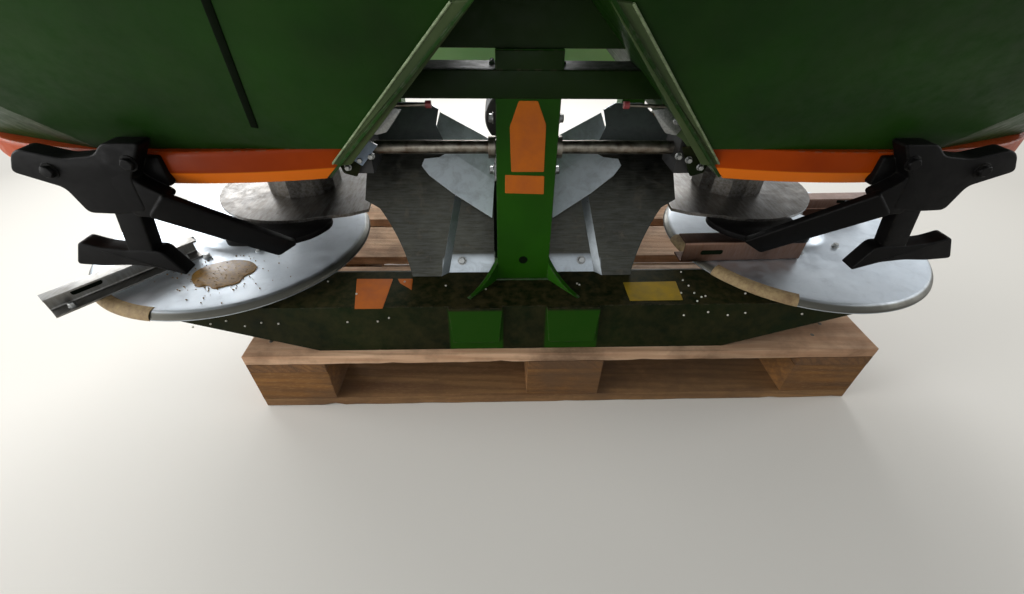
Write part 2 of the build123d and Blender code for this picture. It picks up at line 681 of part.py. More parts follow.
# Charging sieves and what carries them
def sieves():
    half = sieveBar / 2
    z0, z1 = sieveZ - sieveFrame / 2, sieveZ + sieveFrame / 2
    grid = box(-sieveOuter, -sieveInner, sieveRear, sieveFront, z0, z1)
    grid -= box(-sieveOuter + sieveBar, 0, sieveRear + sieveBar, sieveFront - sieveBar, z0 - 1, z1 + 1)
    grid += rod((-sieveInner, sieveRear, sieveZ), (-sieveInner, sieveFront, sieveZ), hingeRadius)
    for k in range(1, sieveBars + 1):
        y = sieveRear + (sieveFront - sieveRear) * k / (sieveBars + 1)
        grid += box(-sieveOuter + 1, -sieveInner - 1, y - half, y + half, sieveZ - half, sieveZ + half)
    for k in range(1, sieveRungs + 1):
        x = -sieveInner - (sieveOuter - sieveInner) * k / (sieveRungs + 1)
        grid += box(x - half, x + half, sieveRear + 1, sieveFront - 1, sieveZ - half, sieveZ + half)
    nodes["sieve_left"] = grid
    nodes["sieve_right"] = flip(grid)
    tieZ = z0 - restGap - tieRadius
    tie = rod((0, hopperRear + wall, tieZ), (0, hopperFront - wall, tieZ), tieRadius)
    tie = (tie - nodes["hopper_rear_panel"] - nodes["hopper_front_panel"]).solids().sort_by(SortBy.VOLUME)[-1]
    for y in hingeLugs:
        y0, y1 = y - hingeLugThick / 2, y + hingeLugThick / 2
        lug = box(-sieveInner, sieveInner, y0, y1, tieZ, sieveZ + hingeBoss)
        for x in (-sieveInner, sieveInner):
            lug += rod((x, y0, sieveZ), (x, y1, sieveZ), hingeBoss)
            lug -= rod((x, y0 - 1, sieveZ), (x, y1 + 1, sieveZ), hingeRadius + runningFit)
        tie += lug
    nodes["centre_tie"] = tie
    ledgeTop = z0 - restGap
    ledge = box(-hopperHalfWidth + wall, -hopperHalfWidth + wall + ledgeDepth, sieveRear, sieveFront,
                ledgeTop - ledgeThick, ledgeTop)
    nodes["sieve_ledges"] = both(ledge)


pallet()
rearBeam()
centrePost()
drive()
frame()
hopper()
tips()
agitator()
disc(-1, leftVanes)
disc(1, rightVanes)
guardArm()
deflector()
sieves()

os.makedirs("parts", exist_ok=True)
for name, shape in nodes.items():
    export_step(shape, "parts/" + name + ".step")
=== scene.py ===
import math
from functools import partial

import bpy
import numpy as np
from mathutils import Matrix


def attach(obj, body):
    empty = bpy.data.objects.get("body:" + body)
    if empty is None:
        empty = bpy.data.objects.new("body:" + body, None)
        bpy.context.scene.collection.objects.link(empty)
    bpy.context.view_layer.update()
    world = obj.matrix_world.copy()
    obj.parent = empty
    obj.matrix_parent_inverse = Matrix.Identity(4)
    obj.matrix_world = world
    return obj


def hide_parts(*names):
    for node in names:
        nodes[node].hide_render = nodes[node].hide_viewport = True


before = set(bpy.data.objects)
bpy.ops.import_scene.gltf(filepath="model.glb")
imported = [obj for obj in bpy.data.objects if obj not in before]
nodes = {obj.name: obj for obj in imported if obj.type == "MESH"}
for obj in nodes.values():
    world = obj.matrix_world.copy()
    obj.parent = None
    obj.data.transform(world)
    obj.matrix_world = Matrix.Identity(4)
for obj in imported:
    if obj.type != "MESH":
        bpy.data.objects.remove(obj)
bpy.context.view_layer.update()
print("stage: frame loaded with", len(nodes), "nodes")


def putInScene(name, data):
    thing = bpy.data.objects.new(name, data)
    bpy.context.scene.collection.objects.link(thing)
    return thing


# Camera at the photo's place: behind the machine, a little under the hopper's rear edge
cameraSettings = {
    "place": (-0.04546, -0.95697, 0.73082),  # metres
    "pitch": 38.97,                          # degrees down
    "roll": 0.86,
    "yaw": 2.21,
    "focal": 430.0,                          # pixels of the 1024 wide frame
    "frameWidth": 1024,
    "sensorWidth": 36.0,
    "nearest": 0.01,
}


def makeCamera(s):
    # Two turns give the view direction, a third rolls the frame about it
    pitch, roll, yaw = (math.radians(s[k]) for k in ("pitch", "roll", "yaw"))
    forward = np.array([math.sin(yaw) * math.cos(pitch), math.cos(yaw) * math.cos(pitch), -math.sin(pitch)])
    level = np.array([math.cos(yaw), -math.sin(yaw), 0.0])
    upward = np.cross(level, forward)
    right = math.cos(roll) * level + math.sin(roll) * upward
    up = -math.sin(roll) * level + math.cos(roll) * upward
    data = bpy.data.cameras.new("camera")
    data.sensor_width = s["sensorWidth"]
    data.lens = s["focal"] / s["frameWidth"] * s["sensorWidth"]
    data.clip_start = s["nearest"]
    camera = putInScene("camera", data)
    camera.matrix_world = Matrix([[right[k], up[k], -forward[k], s["place"][k]] for k in range(3)] + [[0, 0, 0, 1]])
    bpy.context.scene.camera = camera


makeCamera(cameraSettings)


# Colours and nodes
def hexColor(text):
    # sRGB hex to linear light
    c = np.array([int(text[k:k + 2], 16) / 255 for k in (0, 2, 4)])
    linear = np.where(c <= 0.04045, c / 12.92, ((c + 0.055) / 1.055) ** 2.4)
    return (*(float(v) for v in linear), 1.0)


def addNode(tree, kind, *values, out=0, named=None, **properties):
    # Adds one node and gives one of its open outputs. Values fill the open sockets in order and named ones go by
    # name, each a number, a hex colour or another node's output
    node = tree.nodes.new("ShaderNode" + kind)
    for key, value in properties.items():
        setattr(node, key, value)
    sockets = [socket for socket in node.inputs if socket.enabled]
    for socket, value in [*zip(sockets, values), *((node.inputs[key], value) for key, value in (named or {}).items())]:
        if isinstance(value, bpy.types.NodeSocket):
            tree.links.new(value, socket)
        else:
            socket.default_value = hexColor(value) if isinstance(value, str) else value
    if isinstance(out, str):
        return node.outputs[out]
    return [socket for socket in node.outputs if socket.enabled][out] if node.outputs else None


def combine(add, operation, *values):
    # One number from several, two at a time
    total = values[0]
    for value in values[1:]:
        total = add("Math", total, value, operation=operation)
    return total


def layered(add, color, *layers):
    # Lays (mask, colour) layers over one another
    for mask, over in layers:
        color = add("Mix", mask, color, over, data_type="RGBA")
    return color


def newMaterial(name):
    material = bpy.data.materials.new(name)
    material.use_nodes = True
    material.node_tree.nodes.clear()
    add = partial(addNode, material.node_tree)
    return material, add, add("TexCoord", out="Object")


def surface(add, color, metallic, roughness, **others):
    named = {"Base Color": color, "Metallic": metallic, "Roughness": roughness, **others}
    add("OutputMaterial", add("BsdfPrincipled", named=named), is_active_output=True)


def roundedNormal(add, radius, height, strength, distance):
    # Bump over a normal that rounds sharp edges by a radius in metres
    bevel = add("Bevel", radius, samples=4)
    return add("Bump", named={"Strength": strength, "Distance": distance, "Height": height, "Normal": bevel})


def edgeWear(add, radius, low, high):
    # White where the rounded normal turns away from the flat one, so along edges and corners
    bevel = add("Bevel", radius, samples=4)
    dot = add("VectorMath", bevel, add("NewGeometry", out="Normal"), operation="DOT_PRODUCT")
    return add("MapRange", dot, high, low)


def upFacing(add, low, high):
    return add("MapRange", add("SeparateXYZ", add("NewGeometry", out="Normal"), out=2), low, high)


def sideAndHeight(add, vector):
    # How far a place lies from the centre plane and how high, or how far a direction leans that way
    side = add("Math", add("SeparateXYZ", vector), operation="ABSOLUTE")
    return side, add("SeparateXYZ", vector, out=2)


# Materials
def enamel(name, deep, light, dust, chip, dustAmount, roughness=0.36, wear=0.55, gloss=0.3, under="", patch=""):
    # Sprayed enamel on steel: glossy where clean, dull where fertilizer dust sits, chipped along its edges
    material, add, place = newMaterial(name)
    cloud = add("TexNoise", place, 5.0, 5.0, 0.55)        # 200 mm shade drifts
    fine = add("TexNoise", place, 60.0, 6.0, 0.65)        # 16 mm smudges
    grain = add("TexNoise", place, 420.0, 2.0, 0.55)      # orange peel, drawn at 2.4 mm so that it shows
    specks = add("TexNoise", place, 90.0, 4.0, 0.55)      # 11 mm chips
    film = add("MapRange", add("TexNoise", place, 13.0, 5.0, 0.6), 0.42, 0.72, 0.0, 0.35 * dustAmount)
    settled = combine(add, "MULTIPLY", upFacing(add, -0.2, 0.9), add("MapRange", fine, 0.38, 0.66, 0.0, dustAmount))
    chips = combine(add, "MULTIPLY", edgeWear(add, 0.003, 0.985, 0.998), add("MapRange", specks, 0.5, 0.56, 0.0, wear))
    layers = [(add("MapRange", cloud, 0.3, 0.7), light), (film, dust), (settled, dust)]
    if patch:
        # The two brackets under the post keep cleaner paint
        side, height = sideAndHeight(add, place)
        clean = combine(add, "MULTIPLY", add("MapRange", side, 0.139, 0.135, 0.0, 0.8),
                        add("MapRange", side, 0.037, 0.041), add("MapRange", height, 0.233, 0.229))
        layers.append((clean, patch))
    if under:
        # Painted bounce light: brighter paint on folds that face the ground, standing for the floor's light on them
        layers.append((upFacing(add, -0.2, -0.38), under))
    color = layered(add, deep, *layers, (chips, chip))
    rough = add("MapRange", fine, 0.3, 0.75, roughness - 0.05, roughness + 0.25)
    height = add("Math", grain, 0.3, fine, operation="MULTIPLY_ADD")
    normal = roundedNormal(add, 0.0016, height, 0.12, 0.0008)
    surface(add, color, 0.0, rough, **{"Normal": normal, "Specular IOR Level": gloss})
    return material


def rolledStainless(name, base, shade, grainScale, roughness=0.36, stain=0.35, anisotropy=0.35, rim="", film="",
                    lines=0.22):
    # Rolled stainless sheet: fine drawn lines across the light, cloudy dried wash marks, brown splashes; a film colour
    # adds painted reflection and painted light on chosen faces
    material, add, place = newMaterial(name)
    drawn = add("TexNoise", add("Mapping", place, named={"Scale": grainScale}), 30.0, 3.0, 0.7)
    cloud = add("TexNoise", place, 9.0, 5.0, 0.6)            # 110 mm drifts
    wash = add("TexNoise", place, 38.0, 6.0, 0.7, 2.0, 0.6)  # 26 mm marks
    layers = [(add("MapRange", cloud, 0.25, 0.72), base), (add("MapRange", drawn, 0.35, 0.7, 0.0, lines), "c9ccd0"),
              (add("MapRange", wash, 0.55, 0.72, 0.0, stain), "6f6558")]
    metallic = 1.0
    if rim:
        layers.append((add("Attribute", attribute_name="grime", out="Fac"), rim))
    if film:
        # Painted sky reflection and painted light: the pale film colour on the faces turned up or folded aside, and on
        # the lit foot and a band at the top, mottled by the wash marks
        side, height = sideAndHeight(add, place)
        aside, up = sideAndHeight(add, add("NewGeometry", out="Normal"))
        foot = combine(add, "MULTIPLY", add("MapRange", height, 0.266, 0.252), add("MapRange", side, 0.155, 0.15))
        litFootAndTop = combine(add, "MAXIMUM", foot, add("MapRange", height, 0.43, 0.47, 0.0, 0.55))
        litFootAndTop = combine(add, "MULTIPLY", litFootAndTop, add("MapRange", up, 0.5, 0.53, 0.0, 0.7))
        paintedSkyReflection = combine(add, "MAXIMUM", add("MapRange", up, 0.6, 0.66), litFootAndTop,
                        add("MapRange", aside, 0.55, 0.8, 0.0, 0.8))
        paintedSkyReflection = combine(add, "MULTIPLY", paintedSkyReflection, add("MapRange", wash, 0.8, 0.45, 0.6, 1.0))
        layers.append((paintedSkyReflection, film))
        # Where the painted reflection lies the sheet is drawn as a dull non-metal
        metallic = add("MapRange", paintedSkyReflection, 0.0, 1.0, 1.0, 0.05)
    dull = combine(add, "ADD", add("MapRange", wash, 0.35, 0.75, roughness - 0.06, roughness + 0.2),
                   add("MapRange", drawn, 0.3, 0.8, -0.04, 0.05))
    height = add("Math", drawn, 0.25, cloud, operation="MULTIPLY_ADD")
    normal = roundedNormal(add, 0.0008, height, 0.08, 0.001)
    surface(add, layered(add, shade, *layers), metallic, dull, Normal=normal, Anisotropic=anisotropy)
    return material


def sawnPine(name, along, light, dark):
    # Rough-sawn pallet pine: grain bands a few millimetres apart along the board, saw fuzz, mud rubbed into it
    material, add, place = newMaterial(name)
    stretch = [1.0 if axis == along else 14.0 for axis in "xyz"]
    board = add("Mapping", place, named={"Scale": stretch})
    warp = add("TexNoise", board, 2.2, 4.0, 0.5, 2.0, 0.8)
    rings = add("TexWave", board, 2.4, 5.0, 3.0, 1.4, wave_type="BANDS", bands_direction="DIAGONAL")
    fuzz = add("TexNoise", add("Mapping", place, named={"Scale": [v * 0.9 + 1 for v in stretch]}), 42.0, 5.0, 0.75)
    mud = add("MapRange", add("TexNoise", place, 7.0, 6.0, 0.65), 0.46, 0.68, 0.0, 0.7)
    wet = add("MapRange", add("TexNoise", place, 3.1, 3.0, 0.55), 0.5, 0.75)
    color = layered(add, dark, (add("MapRange", warp, 0.28, 0.72), light),
                    (add("MapRange", rings, 0.45, 0.9, 0.0, 0.45), dark),
                    (add("MapRange", fuzz, 0.5, 0.75, 0.0, 0.35), "c39a68"),
                    (mud, "5a4128"), (combine(add, "MULTIPLY", wet, 0.5), "3b2816"))
    height = add("Math", rings, 0.4, fuzz, operation="MULTIPLY_ADD")
    normal = roundedNormal(add, 0.002, height, 0.5, 0.0016)
    surface(add, color, 0.0, add("MapRange", wet, 0.0, 1.0, 0.86, 0.6), Normal=normal)
    return material


def plainMetal(name, base, shade, roughness, scale=180.0, metallic=1.0, strength=0.15, rust=0.0):
    # Worn or plated steel, and with metallic at 0 printed foil, tape or grain: mottled at a few millimetres
    material, add, place = newMaterial(name)
    mottle = add("TexNoise", place, scale, 4.0, 0.6)
    cloud = add("TexNoise", place, 22.0, 4.0, 0.55)       # 45 mm rust patches
    color = layered(add, shade, (add("MapRange", mottle, 0.3, 0.68), base),
                    (add("MapRange", cloud, 0.48, 0.7, 0.0, rust), "5b3a22"))
    rough = add("MapRange", mottle, 0.3, 0.7, roughness - 0.06, roughness + 0.14)
    surface(add, color, metallic, rough, Normal=roundedNormal(add, 0.001, mottle, strength, 0.0006))
    return material


def mouldedBlack(name, base, dust, roughness=0.55):
    # Moulded polyethylene: dull black skin with a fine leathery grain and pale dust in it
    material, add, place = newMaterial(name)
    grain = add("TexVoronoi", place, 520.0)               # 2 mm
    smear = add("TexNoise", place, 26.0, 5.0, 0.65)
    color = layered(add, base, (add("MapRange", smear, 0.48, 0.75, 0.0, 0.45), dust))
    rough = add("MapRange", smear, 0.3, 0.7, roughness - 0.08, roughness + 0.15)
    surface(add, color, 0.0, rough, Normal=roundedNormal(add, 0.0012, grain, 0.12, 0.0005))
    return material


greenEnamel = enamel("green enamel sprayed", "123603", "205207", "31431a", "55524a", 0.18, 0.38, 0.5, 0.1)
# The hopper's green is a darker copy of the frame's green: painted shade for its shaded walls
hopperEnamel = enamel("hopper enamel darkened as painted shade", "0b2503", "1a3f0a", "3c4527", "5d5b50", 0.26, 0.4, 0.45, 0.12)
beamEnamel = enamel("beam enamel dusty", "070d03", "0f1c06", "463f26", "4a4438", 0.62, 0.5, 0.45, 0.07,
                    patch="1c4708")
# The front plate's light green is partly its own colour and partly painted light, lifted to stand for light falling on
# it
frontEnamel = enamel("front plate enamel light green brightened as painted light", "93d188", "aee0a2", "b7c8a4", "7b7867", 0.15, 0.4)
# The orange's under colour is painted bounce light on the skirts' down-facing folds
orangeEnamel = enamel("orange enamel sprayed", "822a00", "b04402", "6e3a16", "6f5a48", 0.06, 0.34, 0.55, 0.12,
                      under="f07a1c")
blackEnamel = enamel("black enamel thick", "040404", "090808", "1d1a16", "26241f", 0.08, 0.42, 0.3, 0.08)
castEnamel = enamel("gearbox enamel on cast iron", "101212", "1b1d1e", "37332a", "3c372f", 0.6, 0.5, 0.6)
flangeEnamel = enamel("ridge flange enamel thin", "35452a", "50603c", "545a3a", "6f7560", 0.12, 0.36, 0.2, 0.15)
# A darker copy of the green enamel: painted shade for the cross bar and the post's head under the hopper
shadeEnamel = enamel("cross bar enamel darkened as painted shade", "0c1c05", "172c0a", "2c3418", "4a4438", 0.25, 0.4, 0.35, 0.1)
weldEnamel = enamel("weld bead enamel", "0d2803", "18400a", "31431a", "55524a", 0.3, 0.36, 0.3, 0.25)
# Near-black enamel as painted shade where slots, the post's hole and the wall's seam show only shadow
gapShadeEnamel = enamel("dark enamel painted as shade in slots, hole and seam", "050b03", "091206", "0c1208", "0b0f08", 0.05, 0.6, 0.0, 0.04)
# Deflectors: the dark base is painted reflection of a dark room, the pale blue film painted sky reflection and painted
# light
deflectorSteel = rolledStainless("deflector stainless with painted reflections", "3d3d36", "292924", (1, 1, 12), stain=0.25,
                                 film="e6f1fa", lines=0.04)
plateSteel = rolledStainless("outlet stainless stained", "6b655c", "3d3831", (6, 1, 6), stain=0.5)
discSteel = rolledStainless("disc stainless turned", "d5dde4", "b9c2ca", (1, 1, 8), 0.42, 0.1, 0.2, rim="4b4a44")
vaneSteel = rolledStainless("vane stainless folded", "8f8d88", "5e5a52", (8, 1, 1))
# The right vanes' pinkish brown is painted reflection of the warm ground in the steel
warmReflectSteel = rolledStainless("vane stainless with painted warm reflection", "7a5c4c", "4c372c", (8, 1, 1), 0.4, 0.4, lines=0.06)
shaftSteel = plainMetal("shaft steel bright drawn", "8f8a80", "5c564c", 0.34, 90.0, strength=0.06, rust=0.3)
# Light grey-green as a painted highlight for the ridge flange's edge bead
edgeHighlight = plainMetal("enamel edge bead painted highlight", "8fa07a", "5d6d47", 0.38, 120.0, 0.0, 0.1)
zincPlate = plainMetal("zinc plated steel", "a7a8a6", "7e807f", 0.38, 300.0)
blackPlastic = mouldedBlack("black polyethylene moulded", "070707", "2a2822")
redCap = plainMetal("plastic cap red faded", "a3464a", "8a3538", 0.4, 90.0, 0.0, 0.05)
boardPine = sawnPine("sawn pine lengthwise", "x", "a07a4c", "6b4a2a")
# The deck boards' lighter pine is painted light, standing for the light falling on the top boards
litDeckPine = sawnPine("sawn pine deck lightened as painted light", "x", "ecc7a4", "b98c69")
crossPine = sawnPine("sawn pine crosswise", "y", "845a2f", "4b3018")
blockPine = sawnPine("sawn pine end grain", "x", "96652c", "583813")
orangeFoil = plainMetal("sticker foil orange printed", "c86800", "b25800", 0.7, 40.0, 0.0, 0.02)
yellowFoil = plainMetal("sticker foil yellow printed", "a88800", "867000", 0.7, 40.0, 0.0, 0.02)
blueFoil = plainMetal("sticker foil pale blue printed", "9fb0c4", "7f8fa6", 0.45, 60.0, 0.0, 0.02)
creamTape = plainMetal("fabric tape cream aged", "a7926a", "80694a", 0.75, 120.0, 0.0, 0.3, 0.3)
wetSlurry = plainMetal("fertilizer slurry drying", "8d6614", "5f430a", 0.34, 150.0, 0.0, 0.25)
prillGrain = plainMetal("fertilizer prill white", "d9d6cc", "b5b0a2", 0.7, 400.0, 0.0, 0.1)
print("stage: materials made")


# CAD nodes that show as they are, and their finishes
finishes = {
    shadeEnamel: ["post_cross_beam"],
    beamEnamel: ["rear_beam", "frame_rails", "drive_tubes", "input_tube"],
    frontEnamel: ["headstock_front_plate"],
    greenEnamel: ["centre_post", "headstock_lower_beam", "headstock_uprights", "headstock_upper_beam",
                  "hopper_supports", "top_link_clevis", "centre_tie"],
    hopperEnamel: ["hopper_rear_panel", "hopper_front_panel", "hopper_left_panel", "hopper_right_panel",
                   "ridge_left_panel", "ridge_right_panel", "hopper_band", "hopper_rim", "sieve_ledges"],
    castEnamel: ["centre_gearbox", "disc_gearboxes"],
    deflectorSteel: ["deflector_left", "deflector_right"],
    plateSteel: ["tip_floor_left", "tip_floor_right", "outlet_plate_left", "outlet_plate_right", "outlet_shutters"],
    shaftSteel: ["agitator_shaft", "lower_link_pins"],
    zincPlate: ["sieve_left", "sieve_right"],
    blackPlastic: ["agitator_bearings"],
}
for material, names in finishes.items():
    for name in names:
        data = nodes[name].data
        data.materials.clear()
        data.materials.append(material)
print("stage: CAD nodes finished")


# Shapes from whole arrays, all in millimetres, in the frame's axes. A part is its points, its face groups and the
# number of its material in the piece's list
across, deep, upright = (1, 0, 0), (0, 1, 0), (0, 0, 1)
backwards, forwards = (0, -1, 0), (0, 1, 0)
toLeft = np.array([-1, 1])    # turns an outline written for the right side over to the left
sides = ((-1, "left"), (1, "right"))
axisGap = 0.01                # turned profiles stop this short of their axis


def unit(vectors):
    return vectors / np.maximum(np.linalg.norm(vectors, axis=-1, keepdims=True), 1e-9)


def solidPart(points, groups, slot=0):
    # The faces are turned round where the volume inside them comes out negative
    volume = 0.0
    for group in groups:
        corners = points[group]
        volume += np.einsum("ik,ijk->", corners[:, 0], np.cross(corners[:, 1:-1], corners[:, 2:]))
    return points, [group[:, ::-1] for group in groups] if volume < 0 else groups, slot


def skin(grid, slot=0, closeRows=False, closeColumns=True):
    # Quads between neighbouring points of a grid, wrapped round where it closes and capped where it doesn't
    rows, columns = grid.shape[:2]
    i, j = np.meshgrid(np.arange(rows - (not closeRows)), np.arange(columns - (not closeColumns)), indexing="ij")
    below, beside = (i + 1) % rows, (j + 1) % columns
    quads = [i * columns + j, i * columns + beside, below * columns + beside, below * columns + j]
    groups = [np.stack(quads, -1).reshape(-1, 4)]
    if not closeRows:
        first = np.arange(columns)[None]
        groups += [first[:, ::-1], first + (rows - 1) * columns]
    elif not closeColumns:
        first = np.arange(rows)[None] * columns
        groups += [first[:, ::-1], first + columns - 1]
    return solidPart(grid.reshape(-1, 3), groups, slot)


def rounded(points, radius, steps=4, closed=True):
    # Each corner becomes a quadratic curve from one side to the next: (1-t)^2 a + 2t(1-t) corner + t^2 b
    p = np.asarray(points, float)
    toBefore, toAfter = (np.roll(p, turn, axis=0) - p for turn in (1, -1))
    shorter = np.minimum(*(np.linalg.norm(side, axis=1, keepdims=True) for side in (toBefore, toAfter)))
    reach = np.minimum(np.reshape(radius, (-1, 1)), 0.48 * shorter)
    start, end = p + unit(toBefore) * reach, p + unit(toAfter) * reach
    t = np.linspace(0, 1, steps + 1)[None, :, None]
    curve = (1 - t) ** 2 * start[:, None] + 2 * t * (1 - t) * p[:, None] + t ** 2 * end[:, None]
    if closed:
        return curve.reshape(-1, p.shape[1])
    return np.concatenate([p[:1], curve[1:-1].reshape(-1, p.shape[1]), p[-1:]])


def circle(radius, count):
    a = np.linspace(0, 2 * np.pi, count, endpoint=False)
    return radius * np.stack([np.cos(a), np.sin(a)], -1)


def sweep(path, section, up=upright, slot=0, scale=1.0):
    # The section's first number goes along the path's side, its second along the path's own upright
    path = np.asarray(path, float)
    section = np.reshape(scale, (-1, 1, 1)) * np.asarray(section, float)[None]
    along = unit(np.gradient(path, axis=0))
    side = unit(np.cross(along, up))
    top = np.cross(side, along)
    return skin(path[:, None] + side[:, None] * section[..., :1] + top[:, None] * section[..., 1:], slot)


def lathe(profile, count, centre=(0, 0, 0), axes=(across, deep, upright), slot=0, span=None, closedProfile=False):
    # Each (r, h) goes round the third axis: centre + r cos a U + r sin a V + h W
    profile = np.asarray(profile, float)
    u, v, w = np.asarray(axes, float)
    a = np.linspace(0, 2 * np.pi, count, endpoint=False) if span is None else np.radians(np.linspace(*span, count))
    ring = np.cos(a)[:, None] * u + np.sin(a)[:, None] * v
    grid = centre + profile[None, :, :1] * ring[:, None] + profile[None, :, 1:] * w
    return skin(grid, slot, span is None, closedProfile or span is not None)


def plate(outline, thick, origin, u, v, corner, edge, slot=0):
    # A flat outline in the plane of u and v, thick along their cross product. Corner and edge are (radius, steps):
    # the outline's corners are rounded and its edges rolled by quarter circles
    outline = rounded(outline, *corner)
    u, v = np.asarray(u, float), np.asarray(v, float)
    after = np.roll(outline, -1, axis=0)
    ahead = unit(after - np.roll(outline, 1, axis=0))
    area = np.sum(outline[:, 0] * after[:, 1] - after[:, 0] * outline[:, 1])
    out = np.stack([ahead[:, 1], -ahead[:, 0]], -1) * np.sign(area)
    radius, steps = min(edge[0], thick / 2), edge[1]
    a = np.linspace(0, np.pi / 2, steps + 1)
    inset = radius * (1 - np.sin(np.concatenate([a, a[::-1]])))
    depth = np.concatenate([radius * (1 - np.cos(a)), thick - radius * (1 - np.cos(a[::-1]))])
    flat = outline[None] - out[None] * inset[:, None, None]
    return skin(origin + flat[..., :1] * u + flat[..., 1:] * v + depth[:, None, None] * np.cross(u, v), slot)


def block(x, y, z, edge):
    outline = [(x[0], y[0]), (x[1], y[0]), (x[1], y[1]), (x[0], y[1])]
    return plate(outline, z[1] - z[0], (0, 0, z[0]), across, deep, (edge, 2), (edge, 2))


def mirrored(parts):
    # The same parts on the other side of the centre plane
    return [solidPart(points * np.array([-1.0, 1.0, 1.0]), groups, slot) for points, groups, slot in parts]


def copies(part, places, scales=1.0):
    # One small part set at many places, each at its own scale
    points, groups, slot = part
    spread = points[None] * np.reshape(scales, (-1, 1, 1)) + np.asarray(places, float)[:, None]
    shift = np.arange(len(places))[:, None, None] * len(points)
    return spread.reshape(-1, 3), [(group[None] + shift).reshape(-1, group.shape[1]) for group in groups], slot


def aimed(part, axis):
    # Turns a part that stands on +Z so that it stands on another axis
    points, groups, slot = part
    w = unit(np.asarray(axis, float))
    u = unit(np.cross(upright if abs(w[2]) < 0.9 else deep, w))
    return points[:, :1] * u + points[:, 1:2] * np.cross(w, u) + points[:, 2:] * w, groups, slot


def bolts(places, axis, size, slot=0, washer=1.5, height=6.0):
    # Hexagon heads with their crowns turned down, each on a round washer
    rim, corner, top = size * 0.72, size / math.sqrt(3), washer + height
    ring = lathe([(axisGap, 0), (rim, 0), (rim, washer), (axisGap, washer)], 14, slot=slot)
    head = lathe([(axisGap, washer), (corner, washer), (corner, washer + height * 0.8), (corner * 0.84, top),
                  (axisGap, top)], 6, slot=slot)
    return [copies(aimed(piece, axis), places) for piece in (ring, head)]


def grainOf(r, count):
    return lathe([(axisGap, -r), (r * 0.8, -r * 0.6), (r, 0), (r * 0.8, r * 0.6), (axisGap, r)], count)


def waves(points, count, size, seed):
    # A soft random field: the sum of a few sine waves with random directions, wavelengths near the given size
    draw = np.random.default_rng(seed)
    direction = unit(draw.normal(size=(count, 3)))
    direction *= 2 * np.pi / size * draw.uniform(0.6, 1.6, (count, 1))
    phase = draw.uniform(0, 2 * np.pi, count)
    return np.sin(points @ direction.T + phase).sum(-1) / math.sqrt(count)


def makePiece(name, parts, materials, replaced=(), body="machine", crease=38.0):
    faces, slots, start = [], [], 0
    for points, groups, slot in parts:
        for group in groups:
            faces += (group + start).tolist()
            slots += [slot] * len(group)
        start += len(points)
    mesh = bpy.data.meshes.new(name)
    mesh.from_pydata((np.concatenate([part[0] for part in parts]) * 0.001).tolist(), [], faces)
    mesh.polygons.foreach_set("material_index", slots)
    mesh.polygons.foreach_set("use_smooth", np.ones(len(faces), bool))
    mesh.set_sharp_from_angle(angle=math.radians(crease))
    for material in materials:
        mesh.materials.append(material)
    piece = putInScene(name, mesh)
    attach(piece, body)
    if replaced:
        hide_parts(*replaced)
    return mesh


def makePair(name, left, materials, replaced="", crease=38.0):
    # The left piece and its mirror image, with the side's word put into the names
    for side, parts in (("left", left), ("right", mirrored(left))):
        makePiece(name.format(side), parts, materials, [replaced.format(side)] if replaced else (), crease=crease)


# Pallet boards: rounded boxes whose skin sinks by the soft field, and whose corners have broken away in places
palletSettings = {
    "length": 1200, "depth": 800, "offset": 81, "board": 22, "blockHeight": 78,
    "topWidths": [145, 100, 145, 100, 145],
    "crossWidth": 145, "rowHalf": 72.5, "edgeRow": 100,
    "section": [(-1, -1), (-0.5, -1), (0, -1), (0.5, -1), (1, -1), (1, 0), (1, 1), (0.5, 1), (0, 1), (-0.5, 1),
                (-1, 1), (-1, 0)],
    "ringEvery": 22, "saw": 0.5, "sawWave": 90.0, "chip": 3.2, "chipWave": 60.0, "deepest": 4.0,
    # (along the cross board, share of the top board's width)
    "nails": [(38, 0.28), (104, 0.74), (72, 0.5)], "nailRadius": 4.0,
}


def roughBoard(x, y, z, along, seed, s):
    low, high = np.array([x, y, z], float).T
    size, middle = high - low, (low + high) / 2
    a = "xy".index(along)
    cross = [k for k in range(3) if k != a]
    ring = rounded(s["section"], 0.02, 2)
    rows = int(max(8, size[a] / s["ringEvery"]))
    grid = np.zeros((rows, len(ring), 3))
    grid[..., a] = np.linspace(-1, 1, rows)[:, None] * size[a] / 2
    grid[..., cross] = ring * size[cross] / 2
    out = np.abs(ring)
    field = np.abs(waves(grid + middle, 7, s["sawWave"], seed)) * s["saw"]
    chips = np.clip(waves(grid + middle, 6, s["chipWave"], seed + 1) - 1.0, 0, 1) * s["chip"] * out.min(axis=1) ** 6
    sink = np.minimum(field + chips, s["deepest"])[..., None]
    inward = np.zeros_like(grid)
    inward[..., cross] = -np.sign(grid[..., cross]) * (out > 0.9)
    return skin(middle + grid + inward * sink)


